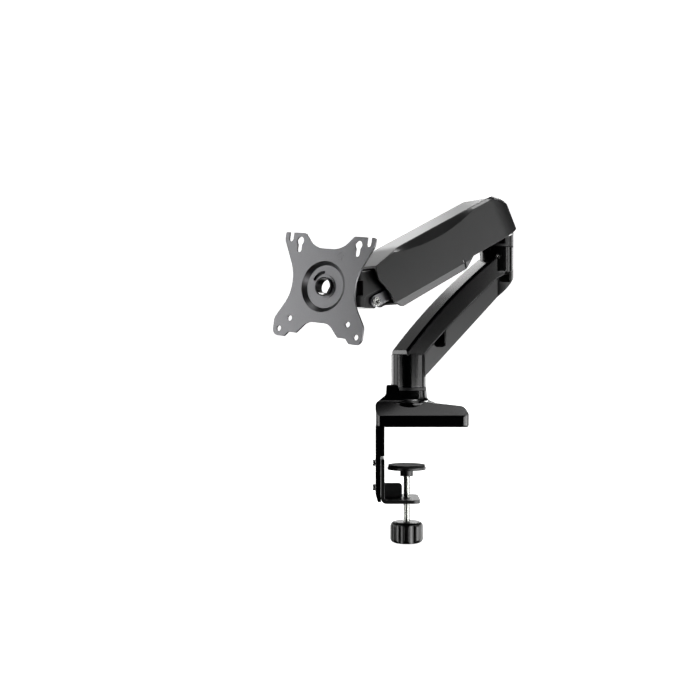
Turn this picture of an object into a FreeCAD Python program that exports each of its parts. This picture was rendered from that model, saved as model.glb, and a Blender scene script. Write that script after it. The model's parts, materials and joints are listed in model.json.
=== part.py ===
"""Desk-clamped monitor arm with a two-link reach and a quick-release monitor plate.

The frame has its origin where the column's axis meets the top of the desk.
+Z is up, +X runs in over the desk from its edge and +Y away to the far side.
All lengths are millimetres and all angles degrees.
"""
import FreeCAD, Part
import Sketcher
import math
import os
import re

Vector = FreeCAD.Vector
doc = FreeCAD.newDocument("MonitorArm")

# Driving dimensions: each has a name, a value and a note.
SIZES = [
    # directions and lengths of the two arms
    ("lower_yaw", 27.8, "lower arm's direction about the column"),
    ("lower_reach", 122, "column axis to elbow axis"),
    ("elbow_turn", 182.8, "upper arm's direction, from the lower arm's"),
    ("arm_pitch", 26.7, "upper arm below level"),
    ("arm_length", 187, "rear pin to front pin"),
    ("arm_pin_reach", 4, "elbow axis to rear arm pin"),
    ("arm_pin_rise", 45.6, "rear arm pin above the upper sleeve"),
    ("link_pin_ahead", 8, "lower link's pins ahead of the arm's pins"),
    ("link_pin_below", 30, "lower link's pins below the arm's pins"),
    ("head_turn", 27.4, "head's direction, from the upper arm's"),
    ("head_reach", 38, "front arm pin to head swivel axis"),
    ("tilt_angle", 5, "plate leans back"),
    ("tilt_reach", 22.5, "head swivel axis to tilt axis"),
    ("tilt_drop", 31.3, "tilt axis below the front arm pin"),
    ("plate_roll", 6.3, "plate turned clockwise, seen from the front"),
    # foot and collar
    ("desk_edge", -28.2, "desk edge along X"),
    ("foot_reach", 66, "front of the foot along X"),
    ("foot_half_width", 38, "foot along Y"),
    ("foot_corner", 7, "foot's upright corners"),
    ("foot_rim", 12.5, "height of the foot's near and far rims"),
    ("foot_tip", 14, "height of the foot's front rim"),
    ("foot_deck", 28, "height of the foot's deck beside the collar"),
    ("deck_half_width", 22, "flat part of the deck"),
    ("deck_rise", 1.5, "rise of the deck towards the hump"),
    ("tip_round", 6, "rounding of the foot's front rim"),
    ("foot_brow", 5, "slope between the foot's front and its deck"),
    ("brow_round", 8, "rounding of that slope"),
    ("rim_round", 3, "rounding along the near and far rims"),
    ("pad_thickness", 1.5, "rubber under the foot"),
    ("pad_inset", 1, "rubber inside the foot's rim"),
    ("collar_top", 40.3, "top of the collar"),
    ("collar_radius", 20.8, "collar at its top"),
    ("collar_flare", 6, "hollow round the collar's foot"),
    ("collar_taper", 1, "collar's foot beyond its top"),
    ("collar_skirt", 3, "collar's spread beyond its hollow"),
    ("collar_sink", 4, "depth of the collar in the foot"),
    ("hump_lap", 4, "hump's reach over the collar"),
    ("hump_lean", 0.8, "lean of the hump's rear face"),
    ("hump_round", 1.5, "rounding of the hump's top"),
    ("hump_half_width", 15.4, "hump along Y at its top"),
    ("hump_gap", 1, "gap between the hump and the lower arm"),
    ("back_round", 5, "rounding of the rear face's bends"),
    ("back_drop", 2, "top of the rear face below the deck"),
    ("hump_rise", 6.2, "top of the rear hump above the collar"),
    ("hump_back", -25.8, "rear face of the hump"),
    ("hump_foot", 35.5, "where the hump's rear face leans out"),
    ("back_face", -38.5, "rear face of the drop"),
    ("back_thickness", 6.3, "rear plate"),
    ("back_shoulder", 33, "depth of the thick part of the drop"),
    ("back_lift", 1.1, "bottom of the rear plate above the bracket's underside"),
    ("back_half_width", 29.5, "rear plate along Y"),
    ("back_relief", 2.8, "lean of the rear plate's lower end"),
    ("back_relief_length", 10, "height of the leaning part"),
    ("post_radius", 12, "column post"),
    ("post_cover", 5, "top of the column post below the lower sleeve's top"),
    ("post_seat", 8, "bottom of the post in the casting"),
    ("washer_thickness", 3.2, "plain washer under the lower arm"),
    ("washer_lip", 0.5, "that washer beyond the sleeve"),
    ("overrun", 1, "how far a cutting shape runs past a face, or a sunk end runs in"),
    # clamp
    ("bracket_thickness", 4, "steel of the lower bracket"),
    ("bracket_top", 37, "bracket's upper edge below the desk top"),
    ("clamp_room", 41.4, "bracket's underside below the underside of the desk"),
    ("bracket_reach", 12, "bracket's foot along X"),
    ("bracket_corner", 8, "bracket's corners"),
    ("bracket_bend", 6, "outside of the bracket's bend"),
    ("gusset_height", 16.4, "rib above the bracket's foot"),
    ("gusset_end", -7.5, "rib's front end along X"),
    ("gusset_round", 4, "rounding of the rib's free corner"),
    ("bracket_screw_radius", 2.5, "screws that hold the bracket"),
    ("bracket_screw_head", 3.7, "their heads"),
    ("bracket_screw_proud", 2.8, "height of their heads"),
    ("bracket_screw_depth", 43, "upper screw below the desk top"),
    ("bracket_screw_pitch", 28, "between the screws"),
    ("bracket_screw_key", 1.7, "hexagon socket in the heads"),
    ("desk_thickness", 45, "desk between the jaws as drawn"),
    ("clamp_centre", -2.2, "clamp screw along X"),
    ("jaw_radius", 22, "pressure plate"),
    ("jaw_pad_thickness", 2.5, "rubber on the pressure plate"),
    ("jaw_thickness", 3, "pressure plate"),
    ("jaw_hub_radius", 7.5, "pressure plate's hub"),
    ("jaw_hub_height", 7.5, "pressure plate's hub"),
    ("jaw_socket_roof", 1, "end of the screw's socket below the plate"),
    ("clamp_screw_radius", 4, "clamp screw"),
    ("knob_drop", 65, "knob's top below the underside of the desk"),
    ("knob_height", 24, "knob"),
    ("knob_radius", 18.7, "knob"),
    ("knob_scallop", 6, "finger hollows in the knob"),
    ("knob_scallops", 8, "number of finger hollows"),
    ("scallop_depth", 2.7, "depth of those hollows"),
    ("knob_turn", 20, "direction of the first hollow"),
    ("knob_brim", 3, "plain rim above the hollows"),
    ("knob_round", 5, "rounding of the knob's rims"),
    ("knob_socket", 16.8, "depth of the screw in the knob"),
    # lower arm
    ("sleeve_radius", 20, "both sleeves of the lower arm"),
    ("sleeve_bore", 15, "bore for the bushes"),
    ("sleeve_ledge", 81, "top of the lower sleeve"),
    ("turn_gap", 0.3, "gap between parts that turn on each other"),
    ("running_gap", 0.05, "radial clearance of shafts"),
    ("beam_half_width", 17, "beam of the lower arm"),
    ("beam_back", -12, "beam's rear edge from the column axis"),
    ("beam_back_rise", 5, "height of that edge above the lower sleeve"),
    ("beam_top_setback", 16.5, "upper end of the beam's top face before the elbow"),
    ("beam_top_drop", 14.2, "that end below the upper sleeve's top"),
    ("beam_top_bow", 690, "bow radius of the beam's top face"),
    ("beam_edge", 3, "rounding of the beam's top edges"),
    ("beam_wall", 3, "walls of the beam"),
    ("hollow_rise", 26, "beam's hollow above the beam's rear edge"),
    ("hollow_crown", 9, "beam's hollow above the middle of its top face and below its end"),
    ("hollow_end", 2, "beam's hollow before the upper sleeve"),
    ("seam_lap", 5, "beam's end inside the upper sleeve above the seam"),
    ("seam_start", 20, "seam between beam and cable cover, lower end"),
    ("seam_start_rise", 9.5, "height of that end above the lower sleeve"),
    ("seam_end_setback", 11, "seam's upper end before the elbow"),
    ("seam_end_drop", 37.8, "that end below the upper sleeve's top"),
    ("seam_bow", 1100, "bow radius of the seam"),
    ("belly_start", 10, "cable cover's lower end"),
    ("belly_start_height", 54.3, "height of that end"),
    ("belly_overhang", 14, "cable cover's upper end beyond the elbow"),
    ("belly_end_drop", 37, "that end below the upper sleeve's top"),
    ("cover_wall", 2.4, "walls of the plastic covers"),
    ("fit_gap", 0.2, "gap between fixed covers"),
    ("notch_start", 23.7, "lower cable notch"),
    ("notch_width", 16.1, "both cable notches"),
    ("notch_round", 5, "rounding of the lower notch's floor"),
    ("upper_notch_round", 3, "rounding of the upper notch's floor"),
    ("belly_rise", 7, "cable cover's rise behind the elbow"),
    ("trough_round", 2, "rounding inside the cable cover's upper end"),
    ("notch_rise", 8.5, "lower notch's floor above the lower sleeve"),
    ("upper_notch_setback", 9, "upper cable notch before the elbow"),
    ("upper_notch_drop", 42.2, "upper notch's floor below the upper sleeve's top"),
    ("elbow_seam_drop", 23.9, "seam at the far side of the upper sleeve below its top"),
    ("elbow_depth", 29.7, "length of the upper sleeve's barrel"),
    ("elbow_barrel", 17.4, "upper sleeve inside the cable cover"),
    ("elbow_top", 208.2, "top of the upper sleeve"),
    ("stop_screw_drop", 12.6, "grub screw below the upper sleeve's top"),
    ("stop_screw_radius", 3, "grub screw"),
    ("stop_screw_sink", 0.6, "grub screw below the sleeve's face"),
    ("stop_screw_key", 2, "floor of its socket below the sleeve's face"),
    # rear yoke and link pins
    ("yoke_washer_thickness", 1, "washer on the upper sleeve"),
    ("yoke_height", 23.8, "yoke's foot before its hollow"),
    ("yoke_hollow", 33.8, "hollow round the arm pin for the covers"),
    ("yoke_foot_height", 3.4, "top of the yoke's foot under the links above the sleeve"),
    ("yoke_web", 6.5, "half thickness of the yoke's web"),
    ("yoke_slot", 3.4, "half width of the slot for the gas spring"),
    ("slot_below", 12, "slot below the gas spring's yoke pin"),
    ("slot_flare", 4, "slot's widening towards the front"),
    ("slot_brow", 10, "level part of the slot's roof ahead of the arm pin"),
    ("slot_roof", 0.6, "slot's roof below the arm pin's boss"),
    ("yoke_step_reach", 3, "rear end of the foot's low part"),
    ("web_toe", 4.8, "front edge of the web's foot ahead of the link pins"),
    ("arm_boss", 9, "bosses round the front arm pin"),
    ("rear_boss", 6.9, "bosses round the rear arm pin"),
    ("link_boss", 8, "bosses round the link pins"),
    ("arm_pin_radius", 5, "arm pins"),
    ("link_pin_radius", 4, "link pins"),
    ("pin_head_radius", 6.5, "arm pins' heads"),
    ("pin_head_thickness", 1.3, "arm pins' heads"),
    ("link_head_radius", 4.8, "link pins' heads"),
    ("link_head_thickness", 1.5, "link pins' heads"),
    ("link_key", 2.6, "hexagon socket in the link pins' heads"),
    ("link_key_depth", 2.5, "depth of that socket"),
    ("spring_pin_ahead", 1, "gas spring's yoke pin ahead of the arm pin"),
    ("spring_pin_below", 22, "gas spring's yoke pin below the arm pin"),
    ("spring_pin_radius", 3, "gas spring's pins"),
    # upper arm
    ("cheek_thickness", 2.5, "steel of the channel"),
    ("cheek_rear", 10, "inside of the channel at the rear"),
    ("cheek_front", 20, "inside of the channel at the front"),
    ("cheek_bend_start", 30, "channel starts to widen"),
    ("cheek_bend_end", 50, "channel is at full width"),
    ("cheek_below", 11, "channel below the pins"),
    ("cheek_above", 12.5, "channel above the pins"),
    ("channel_web_setback", 27, "front end of the channel's top web behind the front pin"),
    ("bulkhead_setback", 20, "bulkhead for the tension screw behind the front pin"),
    ("bulkhead_thickness", 3, "bulkhead"),
    ("bulkhead_below", 9, "bulkhead below the pins"),
    ("bulkhead_above", 10, "bulkhead above the pins"),
    ("joggle_shift", 1, "outside of a bend behind its inside"),
    ("strip_tail_round", 6.8, "rounding of the channel's rear ends"),
    ("nose_round", 8.1, "rounding of the channel's front ends and of the covers' nose"),
    ("weld_lap", 0.5, "how far welded pieces run into each other"),
    ("link_height", 12.5, "lower links"),
    ("link_thickness", 2.8, "lower links"),
    ("link_rear", 7, "inside of the links at the rear"),
    ("link_front", 13.1, "inside of the links at the front"),
    ("link_bend_start", 45, "links start to widen"),
    ("link_bend_end", 60, "links are at full width"),
    ("spring_radius", 9.3, "gas spring's cylinder"),
    ("spring_rod_radius", 3, "gas spring's rod"),
    ("spring_front_setback", 37, "gas spring's front pin behind the front arm pin"),
    ("spring_front_below", 4, "gas spring's front pin below the pins' line"),
    ("spring_cylinder_length", 78, "gas spring's cylinder"),
    ("spring_lug", 10, "front pin to the cylinder's end"),
    ("spring_lug_half", 4.8, "half thickness of the cylinder's lug"),
    ("lug_wall", 3, "steel round the pin in that lug"),
    ("spring_round", 1.2, "rounding of the cylinder's ends"),
    ("spring_eye", 8.5, "rod's eye"),
    ("spring_eye_clearance", 2.5, "play of the rod's eye round its pin"),
    ("rod_inside", 58, "rod inside the cylinder"),
    ("rod_room", 10, "cylinder's bore beyond the rod"),
    ("block_half_width", 12, "tension block"),
    ("block_slot", 7, "slot ahead of the spring's front pin"),
    ("block_rear", 7, "tension block behind its pin"),
    ("block_front", 11, "tension block ahead of its pin"),
    ("block_above", 11, "tension block above its pin"),
    ("block_below", 9, "tension block below its pin"),
    ("tension_screw_radius", 3, "tension screw"),
    ("tension_head_radius", 5, "tension screw's head"),
    ("tension_head_height", 5, "tension screw's head"),
    ("tension_key", 2.75, "hexagon socket in that head"),
    ("tension_key_floor", 2, "floor of that socket"),
    ("tension_above", 5, "tension screw above the gas spring's front pin"),
    # upper arm covers
    ("skin_half_width", 27, "covers"),
    ("skin_top", 20.5, "top of the covers above the pins"),
    ("skin_nose_drop", 6.5, "fall of the top towards the front"),
    ("skin_nose_setback", 27, "where that fall begins behind the front pin"),
    ("skin_overhang", 10, "front edge of the top beyond the front pin"),
    ("skin_bottom", 41.5, "covers below the pins"),
    ("skin_rear_bottom", 30.8, "rear part of the covers below the pins"),
    ("skin_step", 72, "rear end of the deep part"),
    ("skin_tail", 15.6, "tail behind the rear pin"),
    ("tail_round_start", 24, "where the tail's rounding in plan begins"),
    ("crown_start", 18, "where the top falls towards the tail"),
    ("crown_round", 30, "rounding of the top there"),
    ("tail_fall", 5, "fall of the top above the rear pin"),
    ("tail_round", 13, "rounding of the tail, seen from the side"),
    ("tail_back", 11.6, "widest reach of the tail below the pins"),
    ("tail_lean", 0.4, "lean of the tail below that"),
    ("tail_heel", 17.6, "start of the heel below the pins"),
    ("tail_heel_reach", 5.5, "heel's length at the bottom"),
    ("heel_round", 6, "rounding of the heel and of the step's lower end"),
    ("dome_axis", 9, "line below the pins that the tail's dome is turned about"),
    ("dome_tip", 10, "dome's radius at the tail's end"),
    ("dome_back", 5, "dome's steep part ends behind the rear pin"),
    ("dome_back_radius", 23, "dome's radius there"),
    ("dome_wall", 1.7, "room inside is smaller than the dome by this"),
    ("dome_top", 14, "dome's sloping part ends ahead of the rear pin"),
    ("dome_top_radius", 36, "dome's radius there"),
    ("dome_end", 45, "dome leaves the covers' corners"),
    ("dome_end_radius", 43, "dome's radius there"),
    ("step_length", 13, "slope between the rear and the deep part"),
    ("step_round", 5, "rounding of the underside's bends"),
    ("step_slack", 1, "fall of the underside's ends"),
    ("chin_length", 13, "underside ends behind the top's front edge"),
    ("chin_rise", 4.5, "chin's upper end behind the top's front edge"),
    ("chin_round", 4, "rounding there, and set-back of the front's hollow"),
    ("cheek_hollow", 18.5, "bottom of the front's hollow below the pins"),
    ("cheek_round", 12, "rounding of that hollow"),
    ("nose_tip", 3.5, "furthest reach of the front beyond its top edge"),
    ("nose_bow", 60, "rounding of the top where it falls to the front"),
    ("nose_slack", 1.5, "extra fall of the room's roof there"),
    ("past", 9, "how far cutting shapes run past the covers"),
    ("skin_bevel", 3.3, "bevel along the top edges"),
    ("facet_depth", 11.7, "greatest height of the side facet"),
    ("facet_start", 54, "side facet's rear end"),
    ("facet_runout", 6, "facet's cutting wedge beyond its ends"),
    ("facet_margin", 4, "that wedge beyond the covers, and wall left inside the facet"),
    ("facet_setback", 25, "side facet's front end behind the front pin"),
    ("lower_bevel", 2.6, "bevel along the bottom edges"),
    ("lower_bevel_height", 8.5, "bevel along the bottom edges"),
    ("tail_slot", 7.4, "half width of the slot for the yoke's web"),
    ("tail_slot_top", 4, "top of that slot above the pins"),
    ("link_slot", 12.2, "half width of the slot for the links' rear ends"),
    ("link_slot_top", 18, "top of that slot below the pins"),
    ("link_gate", 18, "half width of the opening the links pass through"),
    ("link_gate_length", 16, "front end of that opening ahead of the step"),
    ("link_gate_rise", 4, "roof of that opening above the rear part's underside"),
    ("nose_gate_setback", 10, "front end of the bottom cover behind the front pin"),
    ("lid_half_width", 23.6, "top cover"),
    ("lid_seam", 6, "depth of the top cover's skirt"),
    ("lid_tail", 10, "rear end of the top cover"),
    ("lid_tail_drop", 5, "extra depth of its skirt at the rear end"),
    ("lid_tail_run", 12, "length of that deeper part"),
    ("floor_half_width", 22, "bottom cover"),
    ("floor_seam", 4.4, "height of the bottom cover's edge"),
    ("cover_boss", 4, "bosses that hold the side covers"),
    ("rear_boss_reach", 10, "rear bosses ahead of the channel's bends"),
    ("front_boss_setback", 5, "front bosses behind the end of the channel's web"),
    ("vent_place", 85.2, "small slot in the side covers"),
    ("vent_width", 2, "small slot in the side covers"),
    ("vent_height", 10, "that slot"),
    ("vent_rise", 2.5, "bottom of that slot above the underside"),
    # front knuckle
    ("knuckle_half_width", 16, "knuckle"),
    ("knuckle_recess", 3.3, "recesses for the link ends"),
    ("knuckle_front", 31, "front of the knuckle's body from the arm pin"),
    ("knuckle_top", 1.9, "knuckle's top above the arm pin"),
    ("knuckle_bottom", 36.8, "knuckle's bottom below the arm pin"),
    ("knuckle_corner", 6, "knuckle's upright corners"),
    ("recess_front", 22.6, "front edge of the recess"),
    ("fork_gap_top", 7.8, "top of the fork's gap below the arm pin"),
    ("fork_gap_bottom", 24.3, "bottom of the fork's gap below the arm pin"),
    ("barrel_radius", 12.5, "swivel barrel and fork lugs"),
    ("swivel_pin_radius", 4.5, "head swivel pin"),
    ("swivel_head_radius", 7, "its head"),
    ("swivel_head_thickness", 1.5, "its head"),
    ("thrust_washer", 0.8, "washers in the fork"),
    # head
    ("neck_half_width", 6.5, "swivel block's neck and tilt boss"),
    ("tilt_boss", 9, "tilt boss"),
    ("tilt_bolt_radius", 4, "tilt bolt"),
    ("tilt_head_radius", 6.6, "tilt bolt's head"),
    ("tilt_head_thickness", 4, "tilt bolt's head"),
    ("tilt_key", 2.8, "hexagon socket in that head"),
    ("tilt_key_floor", 1.5, "floor of that socket"),
    ("tilt_nut_flats", 13, "tilt nut across its flats"),
    ("tilt_nut_thickness", 5, "tilt nut"),
    ("tilt_washer", 0.5, "friction washers at the tilt boss"),
    ("tilt_cheek", 2.5, "tilt bracket's cheeks"),
    ("tilt_plate", 3.5, "tilt bracket's base plate"),
    ("tilt_plate_radius", 19, "tilt bracket's base plate"),
    ("hub_height", 13.5, "plate's centre above the tilt axis"),
    ("plate_face", 24, "plate's face ahead of the tilt axis"),
    ("plate_thickness", 2.5, "monitor plate"),
    ("dish_depth", 4.3, "dish in the monitor plate"),
    ("dish_radius", 27.6, "dish at the plate's face"),
    ("dish_floor_radius", 23, "dish at its floor"),
    ("dish_lean", 1.2, "dish's outside beyond its inside"),
    ("hub_radius", 10.25, "hub sleeve"),
    ("hub_bore", 8.75, "hub sleeve"),
    ("hub_washer", 1, "washer behind the dish"),
    ("hub_ring_radius", 13, "retaining ring"),
    ("hub_ring_thickness", 1, "retaining ring"),
    ("stop_slot_radius", 16.1, "curved slot in the dish"),
    ("stop_slot_width", 3.6, "curved slot in the dish"),
    ("stop_slot_from", 105, "curved slot's start about the hub"),
    ("stop_slot_span", 48, "curved slot's length about the hub"),
    # monitor plate's outline, from its centre
    ("hole_pitch_small", 75, "smaller hole square"),
    ("hole_pitch_large", 100, "larger hole square"),
    ("hole_radius", 3, "round holes"),
    ("keyhole_radius", 4.6, "keyholes' wide ends"),
    ("keyhole_neck", 2.9, "keyholes' narrow ends"),
    ("keyhole_length", 9.6, "between the keyholes' ends"),
    ("hook_slot", 5.8, "hook slots"),
    ("hook_floor", 45.8, "hook slots' rounded bottoms"),
    ("plate_ear_side", 57.8, "ears' outer sides"),
    ("plate_top", 55.8, "top edge"),
    ("plate_toe", 58, "bottom edge of the lower ears"),
    ("plate_step", 52.8, "bottom edge inside the lower ears"),
    ("plate_waist", 40.4, "half width of the waist"),
    ("waist_rounding", 45, "rounding of the waist's corners"),
    ("crown_half_width", 31.5, "top hollow at the top edge"),
    ("crown_depth", 35.8, "height of the top hollow's bottom"),
    ("cove_half_width", 27, "bottom hollow"),
    ("cove_height", 39.3, "bottom hollow's roof below the centre"),
    ("ear_corner", 7.5, "lower ears' outer corners"),
]

# Places that keep their distance from the desk, the sleeves and the pins when those move.
PLACES = [
    ("hump_top", "collar_top + hump_rise", "top of the rear hump"),
    ("bracket_bottom", "desk_thickness + clamp_room", "bracket's underside"),
    ("back_depth", "bracket_bottom - back_lift", "bottom of the rear plate"),
    ("knob_top", "desk_thickness + knob_drop", "knob's top"),
    ("post_top", "sleeve_ledge - post_cover", "top of the column post"),
    ("beam_back_height", "sleeve_ledge + beam_back_rise", "beam's rear edge"),
    ("seam_start_height", "sleeve_ledge + seam_start_rise", "seam's lower end"),
    ("notch_floor", "sleeve_ledge + notch_rise", "lower notch's floor"),
    ("beam_top_reach", "lower_reach - beam_top_setback", "beam's upper end"),
    ("beam_top_height", "elbow_top - beam_top_drop", "beam's upper end"),
    ("seam_end", "lower_reach - seam_end_setback", "seam's upper end"),
    ("seam_end_height", "elbow_top - seam_end_drop", "seam's upper end"),
    ("belly_end", "lower_reach + belly_overhang", "cable cover's upper end"),
    ("belly_end_height", "elbow_top - belly_end_drop", "cable cover's upper end"),
    ("upper_notch_start", "lower_reach - upper_notch_setback", "upper cable notch"),
    ("upper_notch_floor", "elbow_top - upper_notch_drop", "upper notch's floor"),
    ("elbow_seam_height", "elbow_top - elbow_seam_drop", "seam at the far side of the elbow"),
    ("elbow_floor", "elbow_top - elbow_depth", "bottom of the upper sleeve's barrel"),
    ("stop_screw_height", "elbow_top - stop_screw_drop", "grub screw"),
    ("yoke_base_top", "elbow_top + yoke_height", "yoke's foot"),
    ("yoke_step", "elbow_top + yoke_foot_height", "yoke's foot under the links"),
    ("arm_pin_height", "elbow_top + arm_pin_rise", "rear arm pin"),
    ("channel_web_end", "arm_length - channel_web_setback", "front end of the channel's web"),
    ("bulkhead_place", "arm_length - bulkhead_setback", "bulkhead"),
    ("spring_front_reach", "arm_length - spring_front_setback", "gas spring's front pin"),
    ("skin_nose_start", "arm_length - skin_nose_setback", "where the covers' top falls"),
    ("skin_front", "arm_length + skin_overhang", "front edge of the covers' top"),
    ("facet_end", "arm_length - facet_setback", "side facet's front end"),
    ("nose_gate", "arm_length - nose_gate_setback", "front end of the bottom cover"),
]

sheet = doc.addObject("Spreadsheet::Sheet", "Sizes")
cells = SIZES + [(alias, f"={formula}", note) for alias, formula, note in PLACES]
for row, (alias, content, note) in enumerate(cells, start=1):
    sheet.set(f"A{row}", alias)
    sheet.set(f"B{row}", str(content))
    sheet.set(f"C{row}", note)
    sheet.setAlias(f"B{row}", alias)
doc.recompute()

NAMES = {alias for alias, content, note in cells}
nodes = {}


def bound(formula):
    """The formula with each size's name pointing at its cell."""
    return re.sub(r"[a-z_]+", lambda word: f"Sizes.{word[0]}" if word[0] in NAMES else word[0],
                  str(formula))


def value(formula):
    """The number a formula gives now."""
    result = sheet.evalExpression(bound(formula))
    return float(getattr(result, "Value", result))


def shift(x, y, z):
    return f"placement(vector({x}; {y}; {z}); rotation(vector(0; 0; 1); 0))"


def turn(x, y, z, angle):
    return f"placement(vector(0; 0; 0); rotation(vector({x}; {y}; {z}); {angle}))"


# Frames: the desk, each arm, the head, the tilting bracket and the plate.
DESK = shift(0, 0, 0)
LOWER = turn(0, 0, 1, "lower_yaw")
ELBOW = f"{LOWER} * {shift('lower_reach', 0, 0)} * {turn(0, 0, 1, 'elbow_turn')}"
ARM = f"{ELBOW} * {shift('arm_pin_reach', 0, 'arm_pin_height')} * {turn(0, 1, 0, 'arm_pitch')}"
FRONT = f"{ARM} * {shift('arm_length', 0, 0)} * {turn(0, 1, 0, '-(arm_pitch)')}"
SPRING_LEVEL = "spring_pin_below * cos(arm_pitch) - spring_pin_ahead * sin(arm_pitch) - spring_front_below"
SPRING_RUN = "spring_front_reach - spring_pin_ahead * cos(arm_pitch) - spring_pin_below * sin(arm_pitch)"
SPRING_LENGTH = f"sqrt(({SPRING_LEVEL})^2 + ({SPRING_RUN})^2)"
SPRING = (f"{ARM} * {shift('spring_front_reach', 0, '-(spring_front_below)')}"
          f" * {turn(0, 1, 0, f'-atan(({SPRING_LEVEL}) / ({SPRING_RUN}))')}")
HEAD = f"{FRONT} * {shift('head_reach', 0, 0)} * {turn(0, 0, 1, 'head_turn')}"
TILT = f"{HEAD} * {shift('tilt_reach', 0, '-(tilt_drop)')} * {turn(0, 1, 0, '-(tilt_angle)')}"
PLATE = f"{TILT} * {shift('plate_face', 0, 'hub_height')} * {turn(1, 0, 0, '-(plate_roll)')}"


def add(kind, name):
    item = doc.addObject(kind, name)
    item.Label = name
    return item


def bind(item, **formulas):
    for prop, formula in formulas.items():
        item.setExpression(prop, bound(formula))
    return item


def block(name, frame, low, high):
    """A box between two corners of a frame."""
    box = add("Part::Box", name)
    bind(box, Length=f"({high[0]}) - ({low[0]})", Width=f"({high[1]}) - ({low[1]})")
    return bind(box, Height=f"({high[2]}) - ({low[2]})", Placement=f"{frame} * {shift(*low)}")


AXES = {
    "x": (lambda a, b, low: shift(low, a, b), turn(0, 1, 0, 90)),
    "y": (lambda a, b, low: shift(a, low, b), turn(1, 0, 0, -90)),
    "z": (lambda a, b, low: shift(a, b, low), turn(0, 0, 1, 0)),
}


def rod(name, frame, axis, centre, low, high, radius):
    """A cylinder along one axis of a frame; centre holds its other two places."""
    place, spin = AXES[axis]
    cylinder = add("Part::Cylinder", name)
    bind(cylinder, Radius=radius, Height=f"({high}) - ({low})")
    return bind(cylinder, Placement=f"{frame} * {place(*centre, low)} * {spin}")


def hexagon(name, frame, axis, centre, low, height, radius):
    """A six-sided prism along one axis of a frame, radius to its corners."""
    place, spin = AXES[axis]
    prism_body = add("Part::Prism", name)
    prism_body.Polygon = 6
    bind(prism_body, Circumradius=radius, Height=height)
    return bind(prism_body, Placement=f"{frame} * {place(*centre, low)} * {spin}")


def fuse(name, *pieces):
    item = add("Part::MultiFuse", name)
    item.Shapes = pieces
    item.Refine = True
    return item


def common(name, *pieces):
    item = add("Part::MultiCommon", name)
    item.Shapes = pieces
    item.Refine = True
    return item


def cut(name, base, *tools):
    item = add("Part::Cut", name)
    item.Base = base
    item.Tool = tools[0] if len(tools) == 1 else fuse(f"{name}_tools", *tools)
    item.Refine = True
    return item


def tube(name, frame, axis, centre, low, high, inner, outer):
    wall = rod(f"{name}_wall", frame, axis, centre, low, high, outer)
    return cut(name, wall, rod(f"{name}_bore", frame, axis, centre, low, high, inner))


def group(name, *pieces):
    """Separate solids kept together as one sub-part."""
    item = add("Part::Compound", name)
    item.Links = pieces
    return item


def outline(sketch, corners):
    """A closed loop in a sketch. A corner is (x, y), (x, y, rounding) or (x, y, 0, bow):
    a rounding joins its two sides with an arc and a bow arcs the side that follows."""
    spots = [Vector(value(corner[0]), value(corner[1]), 0) for corner in corners]
    count = len(corners)

    def constrain(*terms, formula=None):
        index = sketch.addConstraint(Sketcher.Constraint(*terms))
        if formula is not None:
            sketch.setExpression(f"Constraints[{index}]", bound(formula))

    def pin(item, end, corner):
        constrain("DistanceX", item, end, value(corner[0]), formula=corner[0])
        constrain("DistanceY", item, end, value(corner[1]), formula=corner[1])

    ends = []
    for index, corner in enumerate(corners):
        spot = spots[index]
        rounding = value(corner[2]) if len(corner) > 2 else 0
        if not rounding:
            ends.append((spot, spot, None))
            continue
        back = (spots[index - 1] - spot).normalize()
        ahead = (spots[(index + 1) % count] - spot).normalize()
        half = back.getAngle(ahead) / 2
        reach = rounding / math.tan(half)
        middle = spot + (back + ahead).normalize() * (rounding / math.sin(half))
        ends.append((spot + back * reach, spot + ahead * reach, middle))

    sides = []
    for index, corner in enumerate(corners):
        start = ends[index][1]
        stop = ends[(index + 1) % count][0]
        if len(corner) < 4:
            sides.append((sketch.addGeometry(Part.LineSegment(start, stop)), 1, 2))
            continue
        bow = value(corner[3])
        chord = stop - start
        left = Vector(-chord.y, chord.x, 0).normalize() * math.copysign(1, bow)
        depth = math.sqrt(bow * bow - chord.Length ** 2 / 4)
        middle = (start + stop) * 0.5 - left * depth
        first = math.atan2(start.y - middle.y, start.x - middle.x)
        last = math.atan2(stop.y - middle.y, stop.x - middle.x)
        circle = Part.Circle(middle, Vector(0, 0, 1), abs(bow))
        if bow > 0:
            arc = sketch.addGeometry(Part.ArcOfCircle(circle, last, first))
            sides.append((arc, 2, 1))
        else:
            arc = sketch.addGeometry(Part.ArcOfCircle(circle, first, last))
            sides.append((arc, 1, 2))
        constrain("Radius", arc, abs(bow), formula=f"abs({corner[3]})")

    for index, corner in enumerate(corners):
        before = sides[index - 1]
        after = sides[index]
        start, stop, middle = ends[index]
        if middle is None:
            constrain("Coincident", before[0], before[2], after[0], after[1])
            pin(after[0], after[1], corner)
            continue
        first = math.atan2(start.y - middle.y, start.x - middle.x)
        last = math.atan2(stop.y - middle.y, stop.x - middle.x)
        circle = Part.Circle(middle, Vector(0, 0, 1), value(corner[2]))
        forward = (last - first) % (2 * math.pi) < math.pi
        span = (first, last) if forward else (last, first)
        arc = sketch.addGeometry(Part.ArcOfCircle(circle, *span))
        constrain("Tangent", before[0], before[2], arc, 1 if forward else 2)
        constrain("Tangent", after[0], after[1], arc, 2 if forward else 1)
        constrain("Radius", arc, value(corner[2]), formula=corner[2])
        point = sketch.addGeometry(Part.Point(spots[index]), True)
        constrain("PointOnObject", point, 1, before[0])
        constrain("PointOnObject", point, 1, after[0])
        pin(point, 1, corner)


PLANES = {
    "side": (lambda low, high: shift(0, high, 0), turn(1, 0, 0, 90)),
    "plan": (lambda low, high: shift(0, 0, low), turn(0, 0, 1, 0)),
    "front": (lambda low, high: shift(low, 0, 0), turn(1, 1, 1, 120)),
}


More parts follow.
